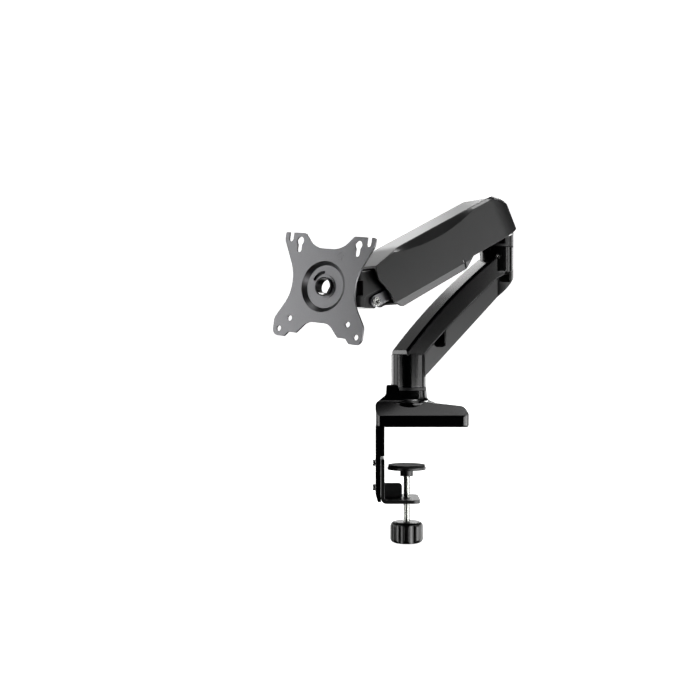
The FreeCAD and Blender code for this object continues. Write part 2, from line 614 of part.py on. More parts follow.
def drawing(name, frame, plane, corners, low=0, high=0):
    place, spin = PLANES[plane]
    sketch = add("Sketcher::SketchObject", name)
    bind(sketch, Placement=f"{frame} * {place(low, high)} * {spin}")
    outline(sketch, corners)
    return sketch


def prism(name, frame, plane, corners, low, high):
    """An outline in the side (XZ), plan (XY) or front (YZ) plane, between two places across it."""
    body = add("Part::Extrusion", name)
    body.Base = drawing(f"{name}_outline", frame, plane, corners, low, high)
    body.DirMode = "Normal"
    body.Solid = True
    return bind(body, LengthFwd=f"({high}) - ({low})")


def spun(name, frame, corners):
    """An outline in the frame's XY plane, X along the axis and Y the radius, turned about X."""
    body = add("Part::Revolution", name)
    body.Source = drawing(f"{name}_outline", frame, "plan", corners)
    body.Solid = True
    body.Angle = 360
    doc.recompute()
    axis = body.Source.Placement.Rotation.multVec(Vector(1, 0, 0))
    body.Axis = axis
    body.Base = body.Source.Placement.Base
    return body


def rounded(name, base, radius, wanted):
    """The base with the edges that wanted(edge) picks rounded."""
    doc.recompute()
    item = add("Part::Fillet", name)
    item.Base = base
    size = value(radius)
    item.Edges = [(n, size, size) for n, edge in enumerate(base.Shape.Edges, start=1) if wanted(edge)]
    return item


def mirrored_bar(points):
    """A left-right symmetrical outline from the points of its right half, top first."""
    left = [(f"-({point[0]})",) + tuple(point[1:]) for point in reversed(points)]
    return list(points) + left


def done(name, item):
    """Makes an object the sub-part of that name."""
    item.Label = name
    nodes[name] = item


# ---- base and clamp ----

def base_casting():
    """Foot, collar, hump and rear drop in one casting, bored for the post."""
    rim = [
        ("foot_reach", "pad_thickness"),
        ("foot_reach", "foot_tip", "tip_round"),
        ("foot_reach - foot_brow", "foot_deck - foot_brow", "brow_round"),
        (0, "foot_deck + deck_rise"),
        ("hump_lap - collar_radius", "hump_top"),
        ("hump_back", "hump_top", "hump_round"),
        ("hump_back - hump_lean", "hump_foot", "back_round"),
        ("back_face", "foot_deck - back_drop", "back_round"),
        ("back_face", "-(back_depth) + back_relief_length"),
        ("back_face + back_relief", "-(back_depth)"),
        ("back_face + back_thickness", "-(back_depth)"),
        ("back_face + back_thickness", "-(back_shoulder)"),
        ("desk_edge", "-(back_shoulder)"),
        ("desk_edge", "pad_thickness"),
    ]
    section = mirrored_bar([
        ("hump_half_width", "hump_top", "rim_round"),
        ("deck_half_width", "foot_deck + deck_rise", "brow_round"),
        ("foot_half_width", "foot_rim", "rim_round"),
        ("foot_half_width", "pad_thickness"),
        ("back_half_width", "pad_thickness"),
        ("back_half_width", "-(back_depth)", "bracket_corner"),
    ])
    plan = mirrored_bar([
        ("foot_half_width", "foot_reach", "foot_corner"),
        ("foot_half_width", "back_face", "foot_corner"),
    ])
    plan = [(corner[1], corner[0]) + tuple(corner[2:]) for corner in plan]
    foot = common(
        "foot",
        prism("foot_side", DESK, "side", rim, "-(foot_half_width)", "foot_half_width"),
        prism("foot_section", DESK, "front", section, "back_face", "foot_reach"),
        prism("foot_plan", DESK, "plan", plan, "-(back_depth)", "hump_top"),
    )
    collar = spun("collar", turn(0, 1, 0, -90), [
        ("foot_deck - collar_sink", 0),
        ("collar_top", 0),
        ("collar_top", "collar_radius"),
        ("foot_deck + overrun", "collar_radius + collar_taper", "collar_flare"),
        ("foot_deck - overrun", "collar_radius + collar_flare + collar_skirt"),
        ("foot_deck - collar_sink", "collar_radius + collar_flare + collar_skirt"),
    ])
    whole = fuse("foot_and_collar", foot, collar)
    clearance = rod("arm_clearance", DESK, "z", (0, 0), "collar_top", "hump_top + overrun",
                    "sleeve_radius + hump_gap")
    post = rod("post_hole", DESK, "z", (0, 0), "post_seat", "hump_top", "post_radius")
    screws = bracket_screw_rods("casting_screw", "back_face - overrun", "bracket_screw_radius")
    return cut("base_casting", whole, clearance, post, *screws)


def base_pad():
    corners = [
        ("foot_reach - pad_inset", "pad_inset - foot_half_width", "foot_corner"),
        ("foot_reach - pad_inset", "foot_half_width - pad_inset", "foot_corner"),
        ("desk_edge", "foot_half_width - pad_inset", "pad_inset"),
        ("desk_edge", "pad_inset - foot_half_width", "pad_inset"),
    ]
    return prism("base_pad", DESK, "plan", corners, 0, "pad_thickness")


def bracket_screw_rods(name, low, radius):
    """Both bracket screws' shanks, from a place behind the plate to the desk edge."""
    return [
        rod(f"{name}_{step}", DESK, "x", (0, f"-(bracket_screw_depth) - {step} * bracket_screw_pitch"),
            low, "desk_edge", radius)
        for step in range(2)
    ]


def lower_bracket():
    """Steel strip bent to an L, stiffened by a rib and tapped for the clamp screw."""
    inside = "desk_edge - bracket_thickness"
    side = [
        (inside, "-(bracket_top)"),
        (inside, "-(bracket_bottom)", "bracket_bend"),
        ("bracket_reach", "-(bracket_bottom)"),
        ("bracket_reach", "bracket_thickness - bracket_bottom"),
        ("desk_edge", "bracket_thickness - bracket_bottom", "bracket_bend - bracket_thickness"),
        ("desk_edge", "-(bracket_top)"),
    ]
    strip = prism("bracket_side", DESK, "side", side, "-(back_half_width)", "back_half_width")
    wide = mirrored_bar([
        ("back_half_width", "-(bracket_top)", "bracket_corner"),
        ("back_half_width", "-(bracket_bottom)"),
    ])
    tip = [
        (inside, "-(back_half_width)"),
        ("bracket_reach", "-(back_half_width)", "bracket_corner"),
        ("bracket_reach", "back_half_width", "bracket_corner"),
        (inside, "back_half_width"),
    ]
    trimmed = common(
        "bracket_strip", strip,
        prism("bracket_front", DESK, "front", wide, inside, "bracket_reach"),
        prism("bracket_plan", DESK, "plan", tip, "-(bracket_bottom)", "-(bracket_top)"),
    )
    floor = "bracket_thickness - bracket_bottom"
    rib = prism("bracket_rib", DESK, "side", [
        ("desk_edge", floor),
        ("gusset_end", floor),
        ("gusset_end", f"{floor} + gusset_height", "gusset_round"),
        ("desk_edge", f"{floor} + gusset_height"),
    ], "-(bracket_thickness) / 2", "bracket_thickness / 2")
    hole = rod("bracket_thread", DESK, "z", ("clamp_centre", 0), "-(bracket_bottom)", floor,
               "clamp_screw_radius + running_gap")
    screws = bracket_screw_rods("bracket_screw_hole", f"{inside} - overrun", "bracket_screw_radius")
    return cut("lower_bracket", fuse("bracket_with_rib", trimmed, rib), hole, *screws)


def bracket_screws():
    screws = []
    for step, shank in enumerate(bracket_screw_rods("bracket_shank", "back_face", "bracket_screw_radius")):
        place = (0, f"-(bracket_screw_depth) - {step} * bracket_screw_pitch")
        head = rod(f"bracket_head_{step}", DESK, "x", place, "back_face - bracket_screw_proud",
                   "back_face", "bracket_screw_head")
        key = hexagon(f"bracket_key_{step}", DESK, "x", place, "back_face - bracket_screw_proud - overrun",
                      "bracket_screw_proud", "bracket_screw_key")
        domed = rounded(f"bracket_dome_{step}", head, "bracket_screw_proud / 2",
                        lambda edge: edge.BoundBox.XMax < value("back_face - overrun") and edge.Closed)
        screws.append(cut(f"bracket_screw_{step}", fuse(f"bracket_bolt_{step}", domed, shank), key))
    return group("bracket_screws", *screws)


def pole_post():
    return rod("pole_post", DESK, "z", (0, 0), "post_seat", "post_top", "post_radius")


def base_washer():
    return tube("base_washer", DESK, "z", (0, 0), "collar_top", "collar_top + washer_thickness",
                "post_radius", "sleeve_radius + washer_lip")


JAW = "-(desk_thickness)"
JAW_PLATE = f"{JAW} - jaw_pad_thickness"
JAW_HUB = f"{JAW_PLATE} - jaw_thickness"


def pressure_pad():
    return rod("pressure_pad", DESK, "z", ("clamp_centre", 0), JAW_PLATE, JAW, "jaw_radius - pad_inset")


def pressure_plate():
    plate = rod("jaw_disc", DESK, "z", ("clamp_centre", 0), JAW_HUB, JAW_PLATE, "jaw_radius")
    hub = rod("jaw_hub", DESK, "z", ("clamp_centre", 0), f"{JAW_HUB} - jaw_hub_height", JAW_HUB,
              "jaw_hub_radius")
    socket = rod("jaw_socket", DESK, "z", ("clamp_centre", 0), f"{JAW_HUB} - jaw_hub_height",
                 f"{JAW_HUB} - jaw_socket_roof", "clamp_screw_radius + running_gap")
    return cut("pressure_plate", fuse("jaw", plate, hub), socket)


def clamp_screw():
    return rod("clamp_screw", DESK, "z", ("clamp_centre", 0), "-(knob_top) - knob_socket",
               f"{JAW_HUB} - jaw_socket_roof - turn_gap", "clamp_screw_radius")


def clamp_knob():
    """Domed knob with finger hollows, pressed on the screw."""
    body = rod("knob_body", DESK, "z", ("clamp_centre", 0), "-(knob_top) - knob_height", "-(knob_top)",
               "knob_radius")
    domed = rounded("knob_dome", body, "knob_round", lambda edge: edge.Closed)
    hollows = []
    for step in range(int(value("knob_scallops"))):
        angle = f"{step} * 360 / knob_scallops + knob_turn"
        reach = "(knob_radius + knob_scallop - scallop_depth)"
        spot = (f"clamp_centre + {reach} * cos({angle})", f"{reach} * sin({angle})")
        hollows.append(rod(f"knob_hollow_{step}", DESK, "z", spot, "-(knob_top) - knob_height - overrun",
                           "-(knob_top) - knob_brim", "knob_scallop"))
    hole = rod("knob_hole", DESK, "z", ("clamp_centre", 0), "-(knob_top) - knob_socket",
               "overrun - knob_top", "clamp_screw_radius")
    return cut("clamp_knob", domed, hole, *hollows)


# ---- lower arm ----

SLEEVE_FLOOR = "collar_top + washer_thickness + turn_gap"
ELBOW_END = "lower_reach + sleeve_radius + overrun"
ELBOW_SLOPE = f"(elbow_seam_height - seam_end_height) / ({ELBOW_END} - seam_end)"


def beam_side():
    """The beam's top face, seen from the side, as far as the seam."""
    return [
        ("beam_back", "beam_back_height", 0, "beam_top_bow"),
        ("beam_top_reach", "beam_top_height"),
        ("lower_reach", "beam_top_height"),
        ("lower_reach", "seam_end_height + seam_lap"),
        ("seam_end", "seam_end_height", 0, "-(seam_bow)"),
        ("seam_start", "seam_start_height"),
        ("sleeve_radius / 2", "sleeve_ledge - overrun"),
        ("beam_back", "sleeve_ledge - overrun"),
    ]


def lower_arm_shell():
    beam = prism("beam", LOWER, "side", beam_side(), "-(beam_half_width)", "beam_half_width")
    soft = rounded("beam_soft", beam, "beam_edge", top_edge)
    sleeve = rod("lower_sleeve", LOWER, "z", (0, 0), SLEEVE_FLOOR, "sleeve_ledge", "sleeve_radius")
    sleeve_end = rod("elbow_sleeve_end", LOWER, "z", ("lower_reach", 0), "elbow_floor", "elbow_top",
                     "sleeve_radius")
    below_seam = prism("elbow_below_seam", LOWER, "side", [
        ("seam_end - sleeve_radius", "elbow_floor - sleeve_radius"),
        (ELBOW_END, "elbow_floor - sleeve_radius"),
        (ELBOW_END, "elbow_seam_height"),
        ("seam_end - sleeve_radius", f"seam_end_height - sleeve_radius * {ELBOW_SLOPE}"),
    ], "-(sleeve_radius) - overrun", "sleeve_radius + overrun")
    elbow = cut("elbow_sleeve", sleeve_end, below_seam)
    barrel = rod("elbow_barrel_end", LOWER, "z", ("lower_reach", 0), "elbow_floor", "elbow_top",
                 "elbow_barrel")
    hollow = prism("beam_hollow", LOWER, "side", [
        ("sleeve_radius + hump_gap", "sleeve_ledge"),
        ("sleeve_radius + hump_gap", "beam_back_height + hollow_rise"),
        ("beam_top_reach / 2", "(beam_back_height + beam_top_height) / 2 + hollow_crown - beam_wall"),
        ("lower_reach - sleeve_radius - hollow_end", "beam_top_height - hollow_crown - beam_wall"),
        ("lower_reach - sleeve_radius - hollow_end", "elbow_floor - sleeve_radius"),
    ], "beam_wall - beam_half_width", "beam_half_width - beam_wall")
    bore = rod("lower_bore", LOWER, "z", (0, 0), SLEEVE_FLOOR, "post_top + overrun", "sleeve_bore")
    elbow_bore = rod("elbow_bore", LOWER, "z", ("lower_reach", 0), "elbow_floor", "elbow_top",
                     "sleeve_bore")
    return cut("lower_arm_shell", fuse("arm_body", soft, sleeve, elbow, barrel), hollow, bore,
               elbow_bore, stop_screw_hole())


def top_edge(edge):
    """Whether an edge is one of the beam's long top edges."""
    long_enough = edge.Length > value("beam_top_reach / 2")
    return long_enough and edge.BoundBox.ZMax > value("beam_top_height - overrun")


STOP_SCREW = f"{LOWER} * {shift('lower_reach', 0, 0)} * {turn(0, 0, 1, '-(lower_yaw)')}"


def stop_screw_hole():
    return rod("stop_screw_hole", STOP_SCREW, "y", (0, "stop_screw_height"), "-(sleeve_radius) - overrun",
               0, "stop_screw_radius")


def swivel_stop_screw():
    body = rod("stop_screw_body", STOP_SCREW, "y", (0, "stop_screw_height"),
               "stop_screw_sink - sleeve_radius",
               "-(sleeve_bore)", "stop_screw_radius")
    key = rod("stop_screw_key", STOP_SCREW, "y", (0, "stop_screw_height"), "-(sleeve_radius)",
              "stop_screw_key - sleeve_radius", "stop_screw_radius / 2")
    return cut("swivel_stop_screw", body, key)


def lower_arm_cable_cover():
    """Trough under the beam, with a cable notch at each end of both its sides."""
    tip = ELBOW_END
    side = reversed_loop([
        ("belly_start", "belly_start_height"),
        ("belly_end", "belly_end_height"),
        (tip, "belly_end_height + belly_rise"),
        (tip, "elbow_seam_height - fit_gap"),
        ("seam_end", "seam_end_height - fit_gap", 0, "-(seam_bow)"),
        ("seam_start", "seam_start_height - fit_gap"),
        ("belly_start", "sleeve_ledge - overrun"),
    ])
    outer = common(
        "trough",
        prism("trough_side", LOWER, "side", side, "-(sleeve_radius) - overrun", "sleeve_radius + overrun"),
        cover_plan("trough_plan", "0", "beam_half_width", "sleeve_radius"),
    )
    slope = "(belly_end_height - belly_start_height) / (belly_end - belly_start)"
    lift = f"cover_wall * sqrt(1 + ({slope})^2)"
    near = "sleeve_radius + fit_gap + cover_wall"
    room = prism("trough_room", LOWER, "side", [
        (near, f"belly_start_height + ({near} - belly_start) * {slope} + {lift}", "beam_wall"),
        ("belly_end - trough_round", f"belly_end_height + {lift} - trough_round * {slope}", "trough_round"),
        (tip, f"belly_end_height + {lift} + seam_lap"),
        (tip, "elbow_top"),
        (near, "elbow_top"),
    ], "-(sleeve_radius)", "sleeve_radius")
    inner = common(
        "trough_hollow", room,
        cover_plan("trough_hollow_plan", near, "beam_half_width - cover_wall", "elbow_barrel + fit_gap"),
    )
    sleeve = rod("trough_sleeve", LOWER, "z", (0, 0), 0, "elbow_top", "sleeve_radius + fit_gap")
    notches = [
        cable_notch("lower_notch", "notch_start", "notch_floor", "notch_round"),
        cable_notch("upper_notch", "upper_notch_start", "upper_notch_floor", "upper_notch_round"),
    ]
    return cut("lower_arm_cable_cover", outer, inner, sleeve, *notches)


def cover_plan(name, start, half_width, radius):
    """The cable cover's plan: a straight run that ends round the elbow."""
    return fuse(
        name,
        block(f"{name}_run", LOWER, (start, f"-({half_width})", 0), ("lower_reach", half_width,
                                                                     "elbow_top")),
        rod(f"{name}_end", LOWER, "z", ("lower_reach", 0), 0, "elbow_top", radius),
    )


def reversed_loop(corners):
    """The same loop the other way round; a bow moves to the corner it then follows."""
    turned = list(reversed(corners))
    plain = [tuple(corner[:2]) for corner in turned]
    for index, corner in enumerate(corners):
        if len(corner) == 4:
            after = plain.index(tuple(corners[(index + 1) % len(corners)][:2]))
            plain[after] = plain[after] + (0, f"-({corner[3]})")
    return plain


def cable_notch(name, start, floor, rounding):
    return prism(name, LOWER, "side", [
        (start, floor, rounding),
        (f"{start} + notch_width", floor, rounding),
        (f"{start} + notch_width", "elbow_top"),
        (start, "elbow_top"),
    ], "-(sleeve_radius) - overrun", "sleeve_radius + overrun")


def lower_arm_bush():
    return tube("lower_arm_bush", LOWER, "z", (0, 0), SLEEVE_FLOOR, "post_top - overrun",
                "post_radius + running_gap", "sleeve_bore")


def upper_arm_bush():
    return tube("upper_arm_bush", LOWER, "z", ("lower_reach", 0), "elbow_floor + overrun", "elbow_top",
                "post_radius + running_gap", "sleeve_bore")


# ---- rear yoke ----

YOKE_FLOOR = "elbow_top + turn_gap + yoke_washer_thickness"
LINK_REAR = ("arm_pin_reach + link_pin_ahead", "arm_pin_height - link_pin_below")
SPRING_PIN = ("arm_pin_reach + spring_pin_ahead", "arm_pin_height - spring_pin_below")


def yoke_shaft():
    return rod("yoke_shaft", ELBOW, "z", (0, 0), "elbow_floor + overrun", f"{YOKE_FLOOR} + overrun",
               "post_radius")


def yoke_washer():
    return tube("yoke_washer", ELBOW, "z", (0, 0), "elbow_top + turn_gap", YOKE_FLOOR, "post_radius",
                "sleeve_radius")


def rear_yoke():
    """Round foot hollowed for the sweep of the covers, under a slotted web for the three pins."""
    foot = rod("yoke_foot", ELBOW, "z", (0, 0), YOKE_FLOOR, "yoke_base_top", "sleeve_radius")
    sweep = rod("yoke_sweep", ELBOW, "y", ("arm_pin_reach", "arm_pin_height"), "-(sleeve_radius) - overrun",
                "sleeve_radius + overrun", "yoke_hollow")
    step = block("yoke_front_step", ELBOW, ("yoke_step_reach", "-(sleeve_radius) - overrun", "yoke_step"),
                 ("sleeve_radius + overrun", "sleeve_radius + overrun", "yoke_base_top"))
    socket = rod("yoke_socket", ELBOW, "z", (0, 0), YOKE_FLOOR, f"{YOKE_FLOOR} + overrun", "post_radius")
    base = cut("yoke_base", foot, sweep, step, socket)
    web = prism("yoke_web_plate", ELBOW, "side", [
        ("arm_pin_reach - rear_boss", "arm_pin_height"),
        ("arm_pin_reach + rear_boss", "arm_pin_height"),
        (f"{LINK_REAR[0]} + link_boss", LINK_REAR[1]),
        (f"{LINK_REAR[0]} + web_toe", f"{YOKE_FLOOR} + overrun"),
        ("-(arm_boss)", f"{YOKE_FLOOR} + overrun"),
    ], "-(yoke_web)", "yoke_web")
    arm_boss = rod("yoke_arm_boss", ELBOW, "y", ("arm_pin_reach", "arm_pin_height"), "-(yoke_web)",
                   "yoke_web", "rear_boss")
    link_boss = rod("yoke_link_boss", ELBOW, "y", LINK_REAR, "-(yoke_web)", "yoke_web", "link_boss")
    slot = prism("yoke_spring_slot", ELBOW, "side", [
        ("arm_pin_reach - arm_boss", "arm_pin_height - spring_pin_below - slot_below"),
        ("lower_reach", "arm_pin_height - spring_pin_below - slot_below - slot_flare"),
        ("lower_reach", "arm_pin_height - slot_flare"),
        ("arm_pin_reach + slot_brow", "arm_pin_height - arm_boss - slot_roof"),
        ("arm_pin_reach - arm_boss", "arm_pin_height - arm_boss - slot_roof"),
    ], "-(yoke_slot)", "yoke_slot")
    holes = [
        rod("yoke_arm_hole", ELBOW, "y", ("arm_pin_reach", "arm_pin_height"), "-(yoke_web)", "yoke_web",
            "arm_pin_radius + running_gap"),
        rod("yoke_link_hole", ELBOW, "y", LINK_REAR, "-(yoke_web)", "yoke_web", "link_pin_radius"),
        rod("yoke_spring_hole", ELBOW, "y", SPRING_PIN, "-(yoke_web)", "yoke_web", "spring_pin_radius"),
    ]
    return cut("rear_yoke", fuse("yoke_body", base, web, arm_boss, link_boss), slot, *holes)


def spring_yoke_pin():
    return rod("spring_yoke_pin", ELBOW, "y", SPRING_PIN, "-(yoke_web)", "yoke_web", "spring_pin_radius")


def shoulder_screws(name, frame, centre, inner, outer, radius, head_radius, head_thickness):
    """A pair of headed pins, one into each side; inner and outer are places from the middle plane."""
    screws = []
    for side, sign in (("left", 1), ("right", -1)):
        tip = f"{outer} + {head_thickness}"
        spans = [(inner, outer), (outer, tip)]
        if sign < 0:
            spans = [(f"-({high})", f"-({low})") for low, high in spans]
        shank = rod(f"{name}_{side}_shank", frame, "y", centre, *spans[0], radius)
        head = rod(f"{name}_{side}_head", frame, "y", centre, *spans[1], head_radius)
        floor = f"{tip} - link_key_depth" if sign > 0 else f"-({tip})"
        key = hexagon(f"{name}_{side}_key", frame, "y", centre, floor, "link_key_depth", "link_key")
        screws.append(cut(f"{name}_{side}", fuse(f"{name}_{side}_body", shank, head), key))
    return group(name, *screws)


def rear_link_pins():
    return shoulder_screws("rear_link_pins", ELBOW, LINK_REAR, "yoke_slot + fit_gap",
                           "link_rear + link_thickness + fit_gap",
                           "link_pin_radius", "link_head_radius", "link_head_thickness")


# ---- upper arm ----

def both_sides(name, frame, corners, low, high):
    """A prism in plan and its mirror image across the frame's middle plane."""
    mirror = [(corner[0], f"-({corner[1]})") + tuple(corner[2:]) for corner in reversed(corners)]
    return [
        prism(f"{name}_left", frame, "plan", corners, low, high),
        prism(f"{name}_right", frame, "plan", mirror, low, high),
    ]


def joggled(start, end, rear, front, thickness, low_x, high_x):
    """Plan of a strip that steps from one offset to a wider one."""
    return [
        (low_x, rear),
        (start, rear),
        (end, front),
        (high_x, front),
        (high_x, f"{front} + {thickness}"),
        (f"{end} - joggle_shift", f"{front} + {thickness}"),
        (f"{start} - joggle_shift", f"{rear} + {thickness}"),
        (low_x, f"{rear} + {thickness}"),
    ]


def upper_arm_channel():
    """Bent steel channel between the arm pins, narrow at the yoke and wide at the knuckle."""
    tail = "-(rear_boss)"
    nose = "arm_length + arm_boss"
    plan = joggled("cheek_bend_start", "cheek_bend_end", "cheek_rear", "cheek_front", "cheek_thickness",
                   tail, nose)
    strips = both_sides("cheek", ARM, plan, "-(cheek_below)", "cheek_above")
    side = prism("cheek_side", ARM, "side", [
        (tail, "-(rear_boss)", "strip_tail_round"),
        ("cheek_bend_start", "-(cheek_below)"),
        ("arm_length - arm_boss", "-(cheek_below)"),
        (nose, "-(arm_boss)", "nose_round"),
        (nose, "arm_boss", "nose_round"),
        ("channel_web_end", "cheek_above"),
        ("cheek_bend_start", "cheek_above"),
        (tail, "rear_boss", "strip_tail_round"),
    ], "-(cheek_front) - cheek_thickness", "cheek_front + cheek_thickness")
    cheeks = common("cheeks", fuse("cheek_strips", *strips), side)
    web_plan = mirrored_bar([
        ("cheek_front + weld_lap", "channel_web_end"),
        ("cheek_front + weld_lap", "cheek_bend_end"),
        ("cheek_rear + weld_lap", "cheek_bend_start"),
    ])
    web_plan = [(corner[1], corner[0]) for corner in web_plan]
    web = prism("channel_web", ARM, "plan", web_plan, "cheek_above - cheek_thickness", "cheek_above")
    bulkhead = block("bulkhead", ARM, ("bulkhead_place", "-(cheek_front) - weld_lap", "-(bulkhead_below)"),
                     ("bulkhead_place + bulkhead_thickness", "cheek_front + weld_lap", "bulkhead_above"))
    pins = [
        rod("channel_rear_hole", ARM, "y", (0, 0), "-(skin_half_width)", "skin_half_width",
            "arm_pin_radius"),
        rod("channel_front_hole", ARM, "y", ("arm_length", 0), "-(skin_half_width)", "skin_half_width",
            "arm_pin_radius"),
        rod("bulkhead_hole", ARM, "x", (0, TENSION_LEVEL), "bulkhead_place - overrun",
            "bulkhead_place + bulkhead_thickness + overrun", "tension_screw_radius"),
    ]
    return cut("upper_arm_channel", fuse("channel", cheeks, web, bulkhead), *pins)


TENSION_LEVEL = "tension_above - spring_front_below"


def headed_pin(name, frame, centre, reach, radius):
    """A pin with a flat head at each end; reach is the outside of what it joins."""
    shank = rod(f"{name}_shank", frame, "y", centre, f"-({reach})", reach, radius)
    heads = [
        rod(f"{name}_head_left", frame, "y", centre, reach, f"{reach} + pin_head_thickness",
            "pin_head_radius"),
        rod(f"{name}_head_right", frame, "y", centre, f"-({reach}) - pin_head_thickness", f"-({reach})",
            "pin_head_radius"),
    ]
    return fuse(name, shank, *heads)


def rear_arm_pin():
    return headed_pin("rear_arm_pin", ARM, (0, 0), "cheek_rear + cheek_thickness", "arm_pin_radius")


def front_arm_pin():
    return headed_pin("front_arm_pin", ARM, ("arm_length", 0), "cheek_front + cheek_thickness",
                      "arm_pin_radius")


def spacers(name, centre, inner, outer, radius):
    """A spacer ring on the arm pin at each side of the piece between the cheeks."""
    return group(
        name,
        tube(f"{name}_left", ARM, "y", centre, inner, outer, "arm_pin_radius", radius),
        tube(f"{name}_right", ARM, "y", centre, f"-({outer})", f"-({inner})", "arm_pin_radius", radius),
    )


def rear_arm_spacers():
    return spacers("rear_arm_spacers", (0, 0), "yoke_web + turn_gap / 3", "cheek_rear",
                   "rear_boss - fit_gap")


def front_arm_spacers():
    return spacers("front_arm_spacers", ("arm_length", 0), "knuckle_half_width + turn_gap / 3",
                   "cheek_front", "arm_boss - overrun")


def tension_block():
    """Block that holds the gas spring's front pin and travels on the tension screw."""
    centre = "spring_front_reach"
    level = "-(spring_front_below)"
    body = block("tension_body", ARM, (f"{centre} - block_rear", "-(block_half_width)",
                                       f"{level} - block_below"),
                 (f"{centre} + block_front", "block_half_width", f"{level} + block_above"))
    slot = block("tension_slot", ARM,
                 (f"{centre} - block_rear", "-(spring_lug_half) - fit_gap", f"{level} - block_below"),
                 (f"{centre} + block_slot", "spring_lug_half + fit_gap", f"{level} + block_above"))
    pin = rod("tension_pin_hole", ARM, "y", (centre, level), "-(block_half_width)", "block_half_width",
              "spring_pin_radius")
    thread = rod("tension_thread", ARM, "x", (0, TENSION_LEVEL), f"{centre} + block_slot",
                 f"{centre} + block_front + overrun", "tension_screw_radius")
    return cut("tension_block", body, slot, pin, thread)


def tension_screw():
    shank = rod("tension_shank", ARM, "x", (0, TENSION_LEVEL), "spring_front_reach + block_slot + weld_lap",
                "bulkhead_place + bulkhead_thickness", "tension_screw_radius")
    head = rod("tension_head", ARM, "x", (0, TENSION_LEVEL), "bulkhead_place + bulkhead_thickness",
               "bulkhead_place + bulkhead_thickness + tension_head_height", "tension_head_radius")
    key = hexagon("tension_key", ARM, "x", (0, TENSION_LEVEL),
                  "bulkhead_place + bulkhead_thickness + tension_key_floor",
                  "tension_head_height", "tension_key")
    return cut("tension_screw", fuse("tension_bolt", shank, head), key)


def spring_arm_pin():
    return rod("spring_arm_pin", ARM, "y", ("spring_front_reach", "-(spring_front_below)"),
               "-(block_half_width)", "block_half_width",
               "spring_pin_radius")


CYLINDER_REAR = "-(spring_lug) - spring_cylinder_length"


def gas_spring_cylinder():
    barrel = rod("spring_barrel", SPRING, "x", (0, 0), CYLINDER_REAR, "-(spring_lug)", "spring_radius")
    soft = rounded("spring_barrel_soft", barrel, "spring_round", lambda edge: edge.Closed)
    lug = block("spring_lug_bar", SPRING, ("-(spring_lug) - overrun", "-(spring_lug_half)",
                                           "-(spring_pin_radius) - lug_wall"),
                (0, "spring_lug_half", "spring_pin_radius + lug_wall"))
    eye = rod("spring_lug_eye", SPRING, "y", (0, 0), "-(spring_lug_half)", "spring_lug_half",
              "spring_pin_radius + lug_wall")
    pin = rod("spring_lug_hole", SPRING, "y", (0, 0), "-(spring_lug_half)", "spring_lug_half",
              "spring_pin_radius")
    bore = rod("spring_bore", SPRING, "x", (0, 0), f"{CYLINDER_REAR} - overrun",
               f"{CYLINDER_REAR} + rod_inside + rod_room", "spring_rod_radius + running_gap")
    return cut("gas_spring_cylinder", fuse("spring_body", soft, lug, eye), pin, bore)


def gas_spring_rod():
    """Rod with an eye that holds the yoke's spring pin with play all round."""
    rear = f"-({SPRING_LENGTH})"
    shaft = rod("spring_shaft", SPRING, "x", (0, 0), f"{rear} + spring_eye - overrun",
                f"{CYLINDER_REAR} + rod_inside", "spring_rod_radius")
    eye = rod("spring_rod_eye", SPRING, "y", (rear, 0), "fit_gap - yoke_slot", "yoke_slot - fit_gap",
              "spring_eye")
    hole = rod("spring_rod_hole", SPRING, "y", (rear, 0), "-(yoke_slot)", "yoke_slot",
               "spring_pin_radius + spring_eye_clearance")
    return cut("gas_spring_rod", fuse("rod_and_eye", shaft, eye), hole)


LINK_REACH = "link_pin_ahead * cos(arm_pitch) + link_pin_below * sin(arm_pitch)"
LINK_LEVEL = "link_pin_ahead * sin(arm_pitch) - link_pin_below * cos(arm_pitch)"


def lower_link(side):
    """One lower link: a joggled bar with round ends."""
    name = f"lower_link_{side}"
    half = "link_height / 2"
    rear = f"({LINK_REACH})"
    front = f"({LINK_REACH} + arm_length)"
    level = f"({LINK_LEVEL})"
    plan = joggled("link_bend_start", "link_bend_end", "link_rear", "link_front", "link_thickness",
                   f"{rear} - {half} - overrun", f"{front} + {half} + overrun")
    low, high = f"{level} - {half}", f"{level} + {half}"
    strip = both_sides(f"{name}_plan", ARM, plan, low, high)[0 if side == "left" else 1]
    reach = ("-(link_front) - link_thickness", "link_front + link_thickness")
    bar = fuse(
        f"{name}_side",
        block(f"{name}_bar", ARM, (rear, reach[0], low), (front, reach[1], high)),
        rod(f"{name}_rear_end", ARM, "y", (rear, level), *reach, half),
        rod(f"{name}_front_end", ARM, "y", (front, level), *reach, half),
    )
    holes = [
        rod(f"{name}_rear_hole", ARM, "y", (rear, level), *reach, "link_pin_radius + running_gap"),
        rod(f"{name}_front_hole", ARM, "y", (front, level), *reach, "link_pin_radius + running_gap"),
    ]
    return cut(name, common(f"{name}_shape", strip, bar), *holes)


# ---- upper arm covers ----

